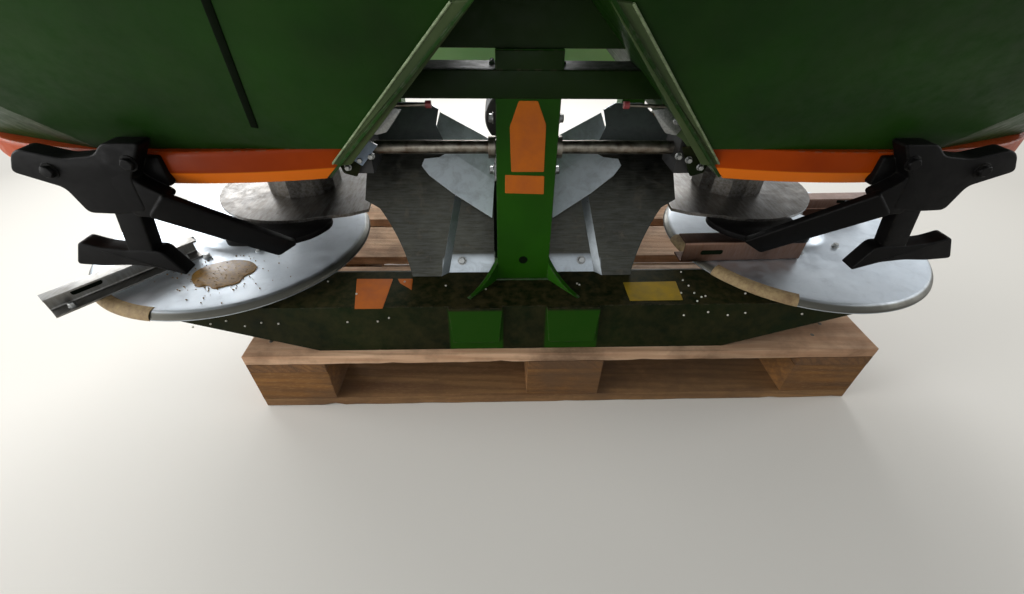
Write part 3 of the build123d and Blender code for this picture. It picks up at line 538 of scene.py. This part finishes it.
def makePallet(s):
    x0, x1 = s["offset"] - s["length"] / 2, s["offset"] + s["length"] / 2
    half, widths, wide, board = s["depth"] / 2, s["topWidths"], s["crossWidth"], s["board"]
    top = 3 * board + s["blockHeight"]
    deck = top - board
    gap = (s["depth"] - sum(widths)) / (len(widths) - 1)
    topRows = list(zip(-half + np.concatenate([[0], np.cumsum(np.array(widths[:-1]) + gap)]), widths))
    crossX = [x0, s["offset"] - wide / 2, x1 - wide]
    rows = [(-half, -half + s["edgeRow"]), (-s["rowHalf"], s["rowHalf"]), (half - s["edgeRow"], half)]
    boards = [roughBoard((x0, x1), (y, y + w), (deck, top), "x", 20 + k, s) for k, (y, w) in enumerate(topRows)]
    cross = [roughBoard((x, x + wide), (-half, half), (deck - board, deck), "y", 40 + k, s)
             for k, x in enumerate(crossX)]
    runners = [roughBoard((x0, x1), row, (0, board), "x", 50 + k, s) for k, row in enumerate(rows)]
    blocks = [roughBoard((x, x + wide), row, (board, deck - board), "x", 60 + 3 * k + m, s)
              for k, row in enumerate(rows) for m, x in enumerate(crossX)]
    nails = [(x + dx, y + w * share, top - 0.4) for x in crossX for y, w in topRows for dx, share in s["nails"]]
    r = s["nailRadius"]
    boards.append(copies(lathe([(axisGap, 0), (r, 0), (r * 0.8, 0.7), (axisGap, 0.8)], 9, slot=1), nails))
    makePiece("pallet_top_rough", boards, [litDeckPine, shaftSteel], ["pallet_top_boards"])
    makePiece("pallet_cross_rough", cross, [crossPine], ["pallet_cross_boards"])
    makePiece("pallet_runner_rough", runners, [boardPine], ["pallet_runners"])
    makePiece("pallet_block_rough", blocks, [blockPine], ["pallet_blocks"])


makePallet(palletSettings)
print("stage: pallet made")


# Discs turned from sheet: hub dome, flat, and a rim rolled down over the edge
discSettings = {
    "spacing": 589, "y": -150, "top": 257, "radius": 262, "sides": 144,
    # (radius, height over the disc's top)
    "dome": [(axisGap, 34), (24, 34), (54, 21), (66, 4), (84, 0), (233, 0)],
    "rim": [(239, 0), (253, 0), (260.5, -9), (262, -14), (258, -15), (249, -7), (239, -3)],
    "under": [(60, -3), (15, -4), (15, -57), (axisGap, -57)],
    "boltCircle": 92, "boltAngles": np.arange(15, 375, 60), "boltSize": 10.0,
    # Grime starts at this radius and height and is full these distances further
    "grimeRadius": 249, "grimeWide": 6, "grimeHeight": 243.5, "grimeTall": 2,
}


def makeDisc(side, name, s):
    centre = (side * s["spacing"], s["y"], 0)
    profile = [rounded(s["dome"], 14, 6, closed=False), rounded(s["rim"], 5, 5, closed=False), s["under"]]
    turned = lathe(np.concatenate(profile) + [0, s["top"]], s["sides"], centre)
    a = np.radians(s["boltAngles"])
    hub = np.stack([s["boltCircle"] * np.cos(a), s["boltCircle"] * np.sin(a), 0 * a + s["top"]], -1) + centre
    parts = [turned] + bolts(hub, upright, s["boltSize"], 1)
    mesh = makePiece("disc_" + name + "_turned", parts, [discSteel, zincPlate], ["disc_" + name], "disc_" + name)
    points = np.concatenate([part[0] for part in parts])
    radius = np.hypot(points[:, 0] - centre[0], points[:, 1] - centre[1])
    grime = (np.clip((radius - s["grimeRadius"]) / s["grimeWide"], 0, 1)
             * np.clip((points[:, 2] - s["grimeHeight"]) / s["grimeTall"], 0, 1))
    mesh.attributes.new("grime", "FLOAT", "POINT").data.foreach_set("value", grime.astype(np.float32))


for side, name in sides:
    makeDisc(side, name, discSettings)
print("stage: discs turned")


# Vanes folded to channels, each with a long slot drawn as thin dark plates of painted shade on its web, and bolts
# through its foot
vaneSettings = {
    "thick": 3, "bend": 6, "innerBend": 3.5, "lip": 0.5, "rings": 12, "boltSize": 9.0,
    # Places along the vane, below 0 from its tip and above 0 from its heel
    "slot": (-78, -34), "slotHalf": 5, "webBolts": (-52, 30), "footBolts": (26, -26),
    # (side, tip angle, tip radius, length, pitch, height, flange)
    "vanes": [(-1, -128, 316, 228, 0, 36, 27), (-1, 52, 258, 170, 0, 36, 27),
              (1, -157, 303, 240, -21, 45, -34), (1, 23, 258, 196, -21, 45, -34)],
}


def makeVane(s, side, angle, reach, length, pitch, height, flange):
    thick, half, wide, lip = s["thick"], s["thick"] / 2, abs(flange), s["lip"]
    outside = rounded([(wide, 0), (-half, 0), (-half, height), (wide, height)],
                      [lip, s["bend"], s["bend"], lip], 5, closed=False)
    inside = rounded([(wide, height - thick), (half, height - thick), (half, thick), (wide, thick)],
                     [lip, s["innerBend"], s["innerBend"], lip], 5, closed=False)
    ring = np.concatenate([outside, inside]) * [np.sign(flange), 1]
    grid = np.zeros((s["rings"], len(ring), 3))
    grid[..., 0] = np.linspace(-length, 0, s["rings"])[:, None]
    grid[..., 1:] = ring
    parts = [skin(grid)]
    (x0, x1), low, high = s["slot"], height / 2 - s["slotHalf"], height / 2 + s["slotHalf"]
    # The slot is not cut: a thin dark plate on each face of the web paints its shade
    for face in (-half + 0.1, half + 0.3):
        parts.append(plate([(x0, low), (x1, low), (x1, high), (x0, high)], 0.4, (0, face, 0), across, upright,
                           (5, 5), (0.1, 1), slot=1))
    (outer, inner), (heel, toe) = s["webBolts"], s["footBolts"]
    parts += bolts([(outer, -half - 0.2, height / 2), (inner - length, -half, height / 2)], backwards, s["boltSize"], 2)
    parts += bolts([(heel - length, flange * 0.55, thick), (toe, flange * 0.55, thick)], upright, s["boltSize"], 2)
    turn, tip = math.radians(angle + pitch), math.radians(angle)
    rotate = np.array([[math.cos(turn), math.sin(turn), 0], [-math.sin(turn), math.cos(turn), 0], [0, 0, 1]])
    disc = discSettings
    place = np.array([side * disc["spacing"] + reach * math.cos(tip), disc["y"] + reach * math.sin(tip), disc["top"]])
    return [(points @ rotate + place, groups, slot) for points, groups, slot in parts]


for (side, name), sheet in zip(sides, (vaneSteel, warmReflectSteel)):
    folded = [part for row in vaneSettings["vanes"] if row[0] == side for part in makeVane(vaneSettings, *row)]
    makePiece("vanes_" + name + "_folded", folded, [sheet, gapShadeEnamel, zincPlate], ["vanes_" + name], "disc_" + name)
print("stage: vanes folded")


# Orange skirts: one folded section carried round the tip, its ends cut on the ridge's slope
skirtSettings = {
    "middle": -131.5, "bottom": 457, "crease": 476, "top": 508, "tuck": 10, "thick": 5, "flange": 27,
    # Plan of the rear half in (|X|, depth), each arc through three points
    "arcs": [((250, 196), (485, 226), (720, 193)), ((720, 193), (812, 144), (880, 64)),
             ((880, 64), (900, 0), (880, -64))],
    "arcPoints": 80, "smoothing": 30,
    "ridgeTop": 765.7, "ridgeRun": 0.987, "steps": 150, "foldAngle": 16,
}


def arcPoints(a, b, c, count):
    # Points along the circle through three points
    (ax, ay), (bx, by), (cx, cy) = a, b, c
    d = 2 * (ax * (by - cy) + bx * (cy - ay) + cx * (ay - by))
    aa, bb, cc = ax ** 2 + ay ** 2, bx ** 2 + by ** 2, cx ** 2 + cy ** 2
    ux = (aa * (by - cy) + bb * (cy - ay) + cc * (ay - by)) / d
    uy = (aa * (cx - bx) + bb * (ax - cx) + cc * (bx - ax)) / d
    t = np.linspace(math.atan2(ay - uy, ax - ux), math.atan2(cy - uy, cx - ux), count)
    r = math.hypot(ax - ux, ay - uy)
    return np.stack([ux + r * np.cos(t), uy + r * np.sin(t)], -1)


def skirtPlan(s):
    # Plan of the skirt's outside from the rear ridge end to the front one, as |X| and depth towards the tractor
    rear = np.concatenate([arcPoints(*arc, s["arcPoints"])[:-1] for arc in s["arcs"]])
    half = rear[rear[:, 1] > 0]
    smooth = np.concatenate([half * [1, -1], half[::-1]])
    for _ in range(s["smoothing"]):
        smooth[1:-1] = (smooth[:-2] + 2 * smooth[1:-1] + smooth[2:]) / 4
    return smooth


def makeSkirt(s):
    plan = skirtPlan(s)
    ahead = unit(np.gradient(plan, axis=0))
    out = np.stack([ahead[:, 1], -ahead[:, 0]], -1)
    top, crease, bottom, thick, tuck, flange = (s[k] for k in ("top", "crease", "bottom", "thick", "tuck", "flange"))
    # (out from the plan, height), up the inside, down the outside and back along the flange
    section = rounded([(-flange, top - 4), (-thick - 1, top - 4), (-thick - 1, crease), (-tuck - thick, bottom + 1),
                       (-tuck - thick, bottom), (-tuck, bottom), (-tuck + 1.5, bottom + 3), (-0.4, crease + 1),
                       (0, crease + 5), (0, top - 5), (-1.5, top), (-flange, top)], 2.2, 3)
    index = np.arange(len(plan), dtype=float)
    limit = (s["ridgeTop"] - section[:, 1]) * s["ridgeRun"]
    middle = len(plan) // 2
    moved = plan[:middle, None, 0] + out[:middle, None, 0] * section[None, :, 0]
    first = np.array([np.interp(limit[k], moved[:, k], index[:middle]) for k in range(len(section))])
    last = len(plan) - 1 - first
    place = first[None] + (last - first)[None] * np.linspace(0, 1, s["steps"])[:, None]
    x, y = (np.interp(place, index, plan[:, k]) + np.interp(place, index, out[:, k]) * section[None, :, 0]
            for k in (0, 1))
    grid = np.stack([-x, s["middle"] + y, np.broadcast_to(section[None, :, 1], x.shape)], -1)
    makePair("skirt_{}_folded", [skin(grid)], [orangeEnamel], "skirt_{}", s["foldAngle"])


makeSkirt(skirtSettings)
print("stage: skirts folded")


# Guard arms: one heavy plate with its foot, a bar to the pad under the outlet, and the lug on the skirt
armSettings = {
    "rear": -390, "front": -362,
    # The parts lie inside one another by small steps, as forged webs do
    "steps": [("head", 0), ("hook", 0.7), ("stem", 1.4), ("foot", 0)],
    "head": [(692, 493), (677, 517), (664, 524), (615, 511), (574, 515), (556, 531), (507, 531), (542, 482), (546, 434),
             (590, 430), (627, 432), (637, 470)],
    "hook": [(548, 494), (536, 476), (507, 455), (541, 423), (566, 426), (572, 482)],
    "stem": [(550, 482), (556, 440), (574, 354), (611, 352), (592, 440), (590, 482)],
    "foot": [(538, 321), (580, 337), (618, 342), (655, 341), (696, 345), (672, 385), (645, 374), (611, 369),
             (560, 367)],
    # The bar's two edges, each at its upper and lower corner
    "bar": [(-515, -382, 464), (-549, -382, 431), (-440, -290, 309), (-402, -290, 328)],
    "barThick": 14,
    "pad": [(526, -190), (526, -300), (420, -300), (380, -275), (358, -236), (364, -206), (385, -190)],
    "padZ": (318, 330),
    "lug": ((-552, -512), (-366, -351), (461, 504), 3),
    "bolts": [(-532, 505), (-640, 495)], "boltSize": 15.0, "crease": 45,
}


def makeArms(s):
    heavy = [plate(np.array(s[name]) * toLeft, s["front"] - s["rear"] - 2 * step, (0, s["front"] - step, 0),
                   across, upright, (8, 5), (2.5, 4)) for name, step in s["steps"]]
    corners = np.array(s["bar"], float)
    along = unit(corners[3] - corners[0])
    down = np.cross(unit(np.cross(corners[1] - corners[0], along)), along)
    flat = [((corner - corners[0]) @ along, (corner - corners[0]) @ down) for corner in corners]
    bar = plate(flat, s["barThick"], corners[0], along, down, (6, 3), (3, 3))
    low, high = s["padZ"]
    pad = plate(np.array(s["pad"]) * toLeft, high - low, (0, 0, low), across, deep, (16, 5), (2.5, 3))
    fixing = bolts([(x, s["rear"], z) for x, z in s["bolts"]], backwards, s["boltSize"], 1)
    left = heavy + [bar, pad, block(*s["lug"])] + fixing
    makePair("guard_arm_{}_cast", left, [blackEnamel, blackEnamel], "guard_arm_{}", s["crease"])


makeArms(armSettings)
print("stage: guard arms made")


# Blank stickers of thin foil: pentagon and rectangle on the post, a whole and a torn one and a yellow one on the beam
stickerSettings = {
    "thick": 0.6, "sunk": 0.2, "edge": (0.2, 1), "postRear": -290, "beamTop": 235,
    "pentagon": [(-14, 559), (14, 559), (28, 525), (29, 451), (-24, 451), (-27, 522)],
    "rectangle": [(-34, 446), (30, 444), (31, 412), (-34, 414)],
    "orange": [(-318, -285), (-249, -286), (-251, -374), (-300, -374)],
    "torn": [(-240, -286), (-211, -286), (-208, -322), (-216, -314), (-226, -306), (-233, -300)],
    "yellow": [(193, -303), (296, -301), (291, -358), (193, -359)],
}


def makeStickers(s):
    post = ((0, s["postRear"] + s["sunk"], 0), across, upright)
    beam = ((0, 0, s["beamTop"] - s["sunk"]), across, deep)
    pentagon, rectangle, orange, torn, yellow = (
        plate(s[name], s["thick"], *where, corner, s["edge"])
        for name, where, corner in (("pentagon", post, (2, 3)), ("rectangle", post, (2, 3)),
                                    ("orange", beam, (2, 3)), ("torn", beam, (1.5, 2)), ("yellow", beam, (2, 3))))
    makePiece("stickers_orange", [pentagon, rectangle, orange, torn], [orangeFoil])
    makePiece("sticker_yellow", [yellow], [yellowFoil])


makeStickers(stickerSettings)
print("stage: stickers laid")


# Cloth tape wrapped over the rims, and a dried puddle with grains round it
rimSettings = {
    # (side, from, to) in degrees
    "tapes": [(-1, -130, -98), (1, -177, -161), (1, -148, -114)], "tapeRings": 40,
    # (radius, height) of the tape's outside
    "tape": [(243, 257.9), (250, 257.9), (254, 257.2), (259, 253.6), (262.4, 249), (262.8, 243.5)],
    "tapeInset": (0.7, 0.9),
    "puddle": [(-601, -319), (-612, -296), (-604, -276), (-582, -258), (-556, -250), (-523, -254), (-503, -272),
               (-500, -290), (-515, -306), (-512, -326), (-534, -334), (-550, -344), (-566, -330), (-579, -338)],
    "puddleThick": 1.5, "sunk": 0.2,
    "grains": 150, "grainMiddle": (-556, -300), "grainSpread": (46, 34), "grainRadius": (0.6, 1.5), "fromEdge": 18,
}


def makeRimTapes(s, disc):
    tape = np.concatenate([s["tape"], np.array(s["tape"])[::-1] - s["tapeInset"]])
    for side, name in sides:
        centre = (side * disc["spacing"], disc["y"], 0)
        strips = [lathe(tape, s["tapeRings"], centre, span=(a, b)) for which, a, b in s["tapes"] if which == side]
        makePiece("tape_rim_" + name, strips, [creamTape], body="disc_" + name)


def makePuddle(s, disc):
    wet = plate(s["puddle"], s["puddleThick"], (0, 0, disc["top"] - s["sunk"]), across, deep, (16, 5), (0.9, 4))
    makePiece("slurry_puddle", [wet], [wetSlurry], body="disc_left")
    draw = np.random.default_rng(5)
    spread = draw.normal(size=(s["grains"], 2)) * s["grainSpread"] + s["grainMiddle"]
    spread = spread[np.hypot(spread[:, 0] + disc["spacing"], spread[:, 1] - disc["y"]) < disc["radius"] - s["fromEdge"]]
    sizes = draw.uniform(*s["grainRadius"], len(spread))
    places = np.column_stack([spread, np.full(len(spread), disc["top"] + 0.9)])
    makePiece("slurry_grains", [copies(grainOf(1, 7), places, sizes)], [wetSlurry], body="disc_left")


makeRimTapes(rimSettings, discSettings)
makePuddle(rimSettings, discSettings)
print("stage: tapes and puddle laid")


# Hopper rear wall: a folded flange along each ridge edge with a bright bead as its painted highlight, and a dark strip
# along the seam as its painted shadow line
wallSettings = {
    "origin": (0, -329.0, 478), "slope": (0, -0.4767, 0.8791),
    # (|X|, Z) in the wall's plane
    "flange": [(66, 694), (90, 692), (292, 480), (262, 482)],
    "bead": [(90, 692), (190, 587), (292, 480)],
    "seam": [(-230, 1046), (-327, 689), (-366, 544)],
    "flangeThick": 5, "flangeSunk": 1.0, "beadRadius": 1.7, "beadSunk": 1.8, "seamHalf": 4.5,
}


def makeWallParts(s):
    origin, slope = np.array(s["origin"], float), np.array(s["slope"])
    normal = np.cross(across, slope)

    def onWall(points, out):
        # Lifts (X, Z) pairs onto the sloping wall, then out along its normal
        points = np.asarray(points, float)
        climb = (points[:, 1:] - origin[2]) / slope[2]
        return points[:, :1] * across + origin + climb * slope + normal * out

    flat = [(-x, (z - origin[2]) / slope[2]) for x, z in s["flange"]]
    flange = plate(flat, s["flangeThick"], origin - normal * s["flangeSunk"], across, slope, (3, 3), (1.2, 3))
    beadPath = rounded(onWall(np.array(s["bead"]) * toLeft, s["flangeThick"] - s["beadSunk"]), 30, 8, closed=False)
    # The bead is drawn light as a painted highlight along the flange's edge
    bead = sweep(beadPath, circle(s["beadRadius"], 8), normal, slot=1)
    makePair("ridge_flange_{}", [flange, bead], [flangeEnamel, edgeHighlight])
    half = s["seamHalf"]
    strip = rounded([(-half, -0.5), (half, -0.5), (half, 1.0), (-half, 1.0)], 0.5, 2)
    # The seam is a dark strip standing for its shadow line: painted shadow
    seam = sweep(rounded(onWall(s["seam"], 0.2), 40, 8, closed=False), strip, normal)
    makePiece("wall_seam_painted_shadow", [seam], [gapShadeEnamel])


makeWallParts(wallSettings)
print("stage: wall parts made")


# Small hardware at the ridge ends: bracket sheets, a pull rod with its red cap, a bright strip and screws
ridgeSettings = {
    "plane": -286,
    "bracket": [(200, 557), (226, 548), (262, 506), (284, 480), (272, 474), (246, 500), (226, 512)],
    "tab": [(186, 546), (213, 549), (240, 520), (232, 508), (214, 512), (202, 526)],
    "foot": [(248, 488), (268, 492), (300, 466), (294, 446), (274, 440), (262, 462)],
    "strip": [(268, 500), (275, 504), (302, 474), (296, 469)],
    # (name, distance beyond the plane, thickness, material)
    "sheets": [("bracket", 6, 3, 0), ("tab", 2, 3, 1), ("foot", 6, 4, 2), ("strip", 1, 3, 1)],
    "rod": [(-148, -284, 552), (-214, -284, 550)], "rodRadius": 2.6,
    "cap": [(-143, -284, 552), (-151, -284, 552)], "capRadius": 5.5,
    "screws": [(228, 530), (244, 476), (262, 470), (284, 458)], "screwSize": 8.0,
    "scale": [(-244, 501), (-231, 493), (-260, 461), (-272, 470)],
}


def makeRidgeHardware(s):
    y = s["plane"]
    left = [plate(np.array(s[name]) * toLeft, thick, (0, y + beyond, 0), across, upright, (2.5, 3), (0.8, 2), slot)
            for name, beyond, thick, slot in s["sheets"]]
    left += [sweep(s["rod"], circle(s["rodRadius"], 10), slot=3), sweep(s["cap"], circle(s["capRadius"], 12), slot=4)]
    left += bolts([(-x, y - 0.5, z) for x, z in s["screws"]], backwards, s["screwSize"], 1)
    makePair("ridge_hardware_{}", left, [flangeEnamel, zincPlate, beamEnamel, shaftSteel, redCap])
    label = plate(s["scale"], 0.6, (0, y - 4.2, 0), across, upright, (1.5, 2), (0.2, 1))
    backing = plate(s["scale"], 5, (0, y + 1, 0), across, upright, (1.5, 2), (0.8, 2), slot=1)
    makePiece("scale_sticker", [label, backing], [blueFoil, zincPlate])


makeRidgeHardware(ridgeSettings)
print("stage: ridge hardware made")


# Weld beads: round ropes of overlapping drops along the joints, thicker and thinner every few millimetres
weldSettings = {
    "radius": 3.2, "ripple": 0.16, "drift": 0.12, "driftWave": 30.0, "drop": 4.5, "sides": 8,
    "lean": (0.31, 0.17, 0.94),
    "post": [(-52, -290, 235), (52, -290, 235), (52, -196, 235), (-52, -196, 235), (-52, -290, 235)],
    "headX": 53.04, "headY": (-250, -226), "headZ": 600,
    "uprightX": [(-400, -340), (340, 400)], "uprightY": 408, "uprightZ": (226, 848),
    "railX": (-180, -120, 120, 180), "railY": (300, 408), "railZ": 224,
}


def weldBead(path, seed, s):
    path = np.asarray(path, float)
    length = np.concatenate([[0], np.cumsum(np.linalg.norm(np.diff(path, axis=0), axis=1))])
    t = np.arange(0, length[-1], s["drop"] / 4)
    line = np.stack([np.interp(t, length, path[:, k]) for k in range(3)], -1)
    ripple = s["ripple"] * np.abs(np.sin(np.pi * t / s["drop"]))
    radius = s["radius"] * (1 + ripple + s["drift"] * waves(line, 4, s["driftWave"], seed))
    return sweep(line, circle(1.0, s["sides"]), s["lean"], scale=radius)


def makeWelds(s):
    beads = [weldBead(s["post"], 1, s)]
    beads += [weldBead([(x, y, s["headZ"]) for y in s["headY"]], 5, s) for x in (-s["headX"], s["headX"])]
    beads += [weldBead([(x, s["uprightY"], z) for x in ends], seed, s)
              for ends in s["uprightX"] for z, seed in zip(s["uprightZ"], (6, 7))]
    beads += [weldBead([(x, y, s["railZ"]) for y in s["railY"]], 8, s) for x in s["railX"]]
    makePiece("weld_beads", beads, [weldEnamel])


makeWelds(weldSettings)
print("stage: welds laid")


# Flat bar welded across the post's face, with the end of the head plate above it, both in the darker green of painted
# shade
crossSettings = {
    # (X limits, Y limits, Z limits, edge)
    "bar": ((-194, 194), (-293.5, -281), (562, 600), 2),
    "head": ((-47, 47), (-292, -281), (596, 624), 1.2),
}
makePiece("cross_beam_face", [block(*limits) for limits in crossSettings.values()], [shadeEnamel])
print("stage: cross bar made")


# Screws on the post and the deflectors' feet, the post's open hole as a dark disc of painted shade, and grains spilt on
# the beam
smallSettings = {
    "postScrews": [(52, -250, 523), (52, -250, 438)], "screwSize": 12.0,
    # (|X|, Z) on the deflectors' inner panels, which rise from the foot by this slope
    "plateScrews": [(117, 255), (206, 262)], "plateFoot": (-268, 235), "plateSlope": 1.509,
    "plateNormal": (0, -0.83, 0.55),
    "hole": (0, -290.2, 280), "holeRadius": 8,
    "grains": [(-594, 198), (-560, 205), (-530, 212), (-502, 199), (-470, 207), (-441, 204), (-318, 206), (-264, 207),
               (-243, 215), (292, 214), (335, 221), (374, 213), (405, 218), (513, 214)],
    "beamRear": -376, "grainRadius": 1.9,
    # Scattered on the beam's top, clear of the post and of its ends
    "scattered": 22, "from": [-560, -370, 236.6], "to": [560, -270, 236.7], "clear": (70, 470), "sunk": [0, 0, 0.8],
}


def makeSmallParts(s):
    left = [(-x, y, z) for x, y, z in s["postScrews"]]
    screws = bolts(left, (-1, 0, 0), s["screwSize"]) + bolts(s["postScrews"], across, s["screwSize"])
    footY, footZ = s["plateFoot"]
    for x, z in s["plateScrews"]:
        y = footY + (z - footZ) / s["plateSlope"]
        screws += bolts([(-x, y, z), (x, y, z)], s["plateNormal"], s["screwSize"])
    r = s["holeRadius"]
    # The hole is a thin dark disc on the post's face, painted shade
    hole = lathe([(axisGap, 0), (r, 0), (r, 0.4), (axisGap, 0.4)], 20, s["hole"], (across, upright, backwards), slot=1)
    makePiece("post_screws", screws + [hole], [zincPlate, gapShadeEnamel])
    grain = grainOf(s["grainRadius"], 10)
    spilt = np.random.default_rng(9).uniform(s["from"], s["to"], (s["scattered"], 3))
    inner, outer = s["clear"]
    spilt = spilt[(np.abs(spilt[:, 0]) > inner) & (np.abs(spilt[:, 0]) < outer)] - s["sunk"]
    face = [(x, s["beamRear"], z) for x, z in s["grains"]]
    makePiece("spilt_grains", [copies(grain, face), copies(grain, spilt)], [prillGrain])


makeSmallParts(smallSettings)
print("stage: small parts made")


# Guard bell with ribs round the drive stub, and the stub's splines
stubSettings = {
    "height": 320, "back": 438, "mouth": 565, "radius": 85, "wall": 3.5, "hole": 38.6, "ribs": 9, "ribHeight": 1.6,
    "shaftRadius": 19, "shaftStart": -20, "stubStart": 452, "splines": 6, "groove": 2.6,
    # Rings of the splined end: (Y, radius between the splines' crests, share of the groove's depth)
    "splineRings": [(451, 17.4, 0.2), (455, 17.4, 1), (482, 17.4, 1), (542.5, 17.4, 1), (545, 15.8, 1)],
}


def makeStub(s):
    axes, centre = (across, (0, 0, -1), forwards), (0, 0, s["height"])
    r, wall, back, mouth, hole = (s[k] for k in ("radius", "wall", "back", "mouth", "hole"))
    h = np.linspace(back + 8, mouth - 6, 90)
    rib = r - s["ribHeight"] * (0.5 - 0.5 * np.cos(2 * np.pi * s["ribs"] * (h - h[0]) / (h[-1] - h[0])))
    outside = [(hole, back), (r - 10, back), (r - 3, back + 2.5)]
    inside = [(r, mouth - 4), (r, mouth), (r - wall, mouth), (r - wall - 1, mouth - 3), (r - wall - 2, back + 12),
              (r - 12, back + wall + 0.5), (hole, back + wall)]
    bell = lathe(np.concatenate([outside, np.stack([rib, h], -1), inside]), 72, centre, axes, closedProfile=True)
    makePiece("pto_guard_ribbed", [bell], [blackPlastic], ["pto_guard"])
    start, end, thick = s["shaftStart"], s["stubStart"], s["shaftRadius"]
    shaft = lathe([(axisGap, start), (thick, start), (thick, end), (axisGap, end)], 40, centre, axes)
    # The splined end: radius falls by the groove's depth on a squared-off cosine of the angle
    y, crest, share = np.array(s["splineRings"])[:, :, None].transpose(1, 0, 2)
    a = np.linspace(0, 2 * np.pi, 144, endpoint=False)
    square = np.clip(4 * np.cos(s["splines"] * a) + 0.6, -1, 1) * 0.5 + 0.5
    radius = crest - s["groove"] * (1 - square) * share
    grid = np.stack([radius * np.cos(a), np.broadcast_to(y, radius.shape), s["height"] - radius * np.sin(a)], -1)
    makePiece("pto_shaft_splined", [shaft, skin(grid)], [shaftSteel], ["pto_shaft"], "pto")


makeStub(stubSettings)
print("stage: drive stub made")


# Outside fasteners of hopper and headstock, where a fitter would expect them
fittingSettings = {
    "bandZ": 1150, "bandX": np.arange(-960.0, 961, 180), "bandY": np.arange(-540.0, 301, 168), "bandSize": 13.0,
    "bandRear": -640.2, "bandFront": 400.2, "bandSide": 1075.2,
    "uprightX": [-370, 370], "uprightZ": [260, 300, 780, 820], "uprightFront": 470.2, "uprightSize": 18.0,
    "plate": [(-300, 430), (300, 430), (-300, 565), (300, 565)], "plateFaces": (416.2, 409.8), "plateSize": 12.0,
}


def makeFittings(s):
    z, front, rear = s["bandZ"], *s["plateFaces"]
    rows = [
        ([(x, s["bandRear"], z) for x in s["bandX"]], backwards, s["bandSize"]),
        ([(x, s["bandFront"], z) for x in s["bandX"]], forwards, s["bandSize"]),
        ([(-s["bandSide"], y, z) for y in s["bandY"]], (-1, 0, 0), s["bandSize"]),
        ([(s["bandSide"], y, z) for y in s["bandY"]], across, s["bandSize"]),
        ([(x, s["uprightFront"], z) for x in s["uprightX"] for z in s["uprightZ"]], forwards, s["uprightSize"]),
        ([(x, front, z) for x, z in s["plate"]], forwards, s["plateSize"]),
        ([(x, rear, z) for x, z in s["plate"]], backwards, s["plateSize"]),
    ]
    makePiece("outside_fittings", [part for row in rows for part in bolts(*row)], [zincPlate])


makeFittings(fittingSettings)
print("stage: fittings made")


# Floor and light
stageSettings = {
    "floorHalf": 14.0, "floorHeight": -0.001,
    "floorColor": "8c877d",       # what the machine gets back from it
    "paleColor": "e3e0d9",        # what the camera and bright metal see
    "farColor": "c9c6be",
    "ownColorFrom": (1.0, 2.2),   # metres from the middle
    "worldColor": "dfe3e6",
    "worldStrength": 0.16,
    "paleStrength": 0.95,
    "lamps": [
        # (name, place, target, size, watts)
        ("left window", (-3.6, -0.8, 1.5), (0, -0.1, 0.3), 2.6, 125.0),
        ("right window", (3.6, -0.5, 1.7), (0, -0.1, 0.3), 2.6, 50.0),
        ("left low window", (-2.4, 2.0, 0.9), (-0.4, -0.2, 0.3), 1.8, 62.0),
        ("right low window", (2.4, 2.0, 0.9), (0.4, -0.2, 0.3), 1.8, 7.0),
        ("far window", (0.3, 3.8, 1.2), (0, 0, 0.4), 3.4, 270.0),
        ("left rear low", (-2.0, -2.0, 0.25), (-0.6, -0.5, 0.7), 1.0, 20.0),
        ("behind camera", (-0.6, -3.4, 1.5), (0, 0, 0.4), 2.4, 14.0),
    ],
}


def seenDirectly(add):
    # White for rays from the camera, from bright metal and through glass
    kinds = ("Is Camera Ray", "Is Glossy Ray", "Is Transmission Ray")
    return combine(add, "MAXIMUM", *(add("LightPath", out=kind) for kind in kinds))


def makeFloor(s):
    half, z = s["floorHalf"], s["floorHeight"]
    mesh = bpy.data.meshes.new("floor")
    mesh.from_pydata([(-half, -half, z), (half, -half, z), (half, half, z), (-half, half, z)], [], [(0, 1, 2, 3)])
    floor = putInScene("floor", mesh)
    material, add, place = newMaterial("floor paper matt")
    seen = seenDirectly(add)
    # Away from the machine the floor keeps its own pale colour where the lamps no longer reach
    away = add("VectorMath", place, operation="LENGTH")
    own = combine(add, "MULTIPLY", add("MapRange", away, *s["ownColorFrom"]), seen)
    color = layered(add, s["floorColor"], (seen, s["paleColor"]), (own, "000000"))
    surface(add, color, 0.0, 0.9, **{"Emission Color": s["farColor"], "Emission Strength": own})
    mesh.materials.append(material)


def makeLight(s):
    world = bpy.data.worlds.new("room")
    world.use_nodes = True
    add = partial(addNode, world.node_tree)
    background = world.node_tree.nodes["Background"]
    background.inputs[0].default_value = hexColor(s["worldColor"])
    strength = add("MapRange", seenDirectly(add), 0.0, 1.0, s["worldStrength"], s["paleStrength"])
    world.node_tree.links.new(strength, background.inputs[1])
    bpy.context.scene.world = world
    for name, place, target, size, watts in s["lamps"]:
        data = bpy.data.lights.new(name, "AREA")
        data.shape = "DISK"
        data.size = size
        data.energy = watts
        lamp = putInScene(name, data)
        aim = np.array(target, float) - np.array(place, float)
        lamp.location = place
        lamp.rotation_euler = (math.atan2(math.hypot(aim[0], aim[1]), -aim[2]), 0.0, math.atan2(-aim[0], aim[1]))
    bpy.context.scene.view_settings.view_transform = "Standard"


makeFloor(stageSettings)
makeLight(stageSettings)
print("stage: floor and lamps set")
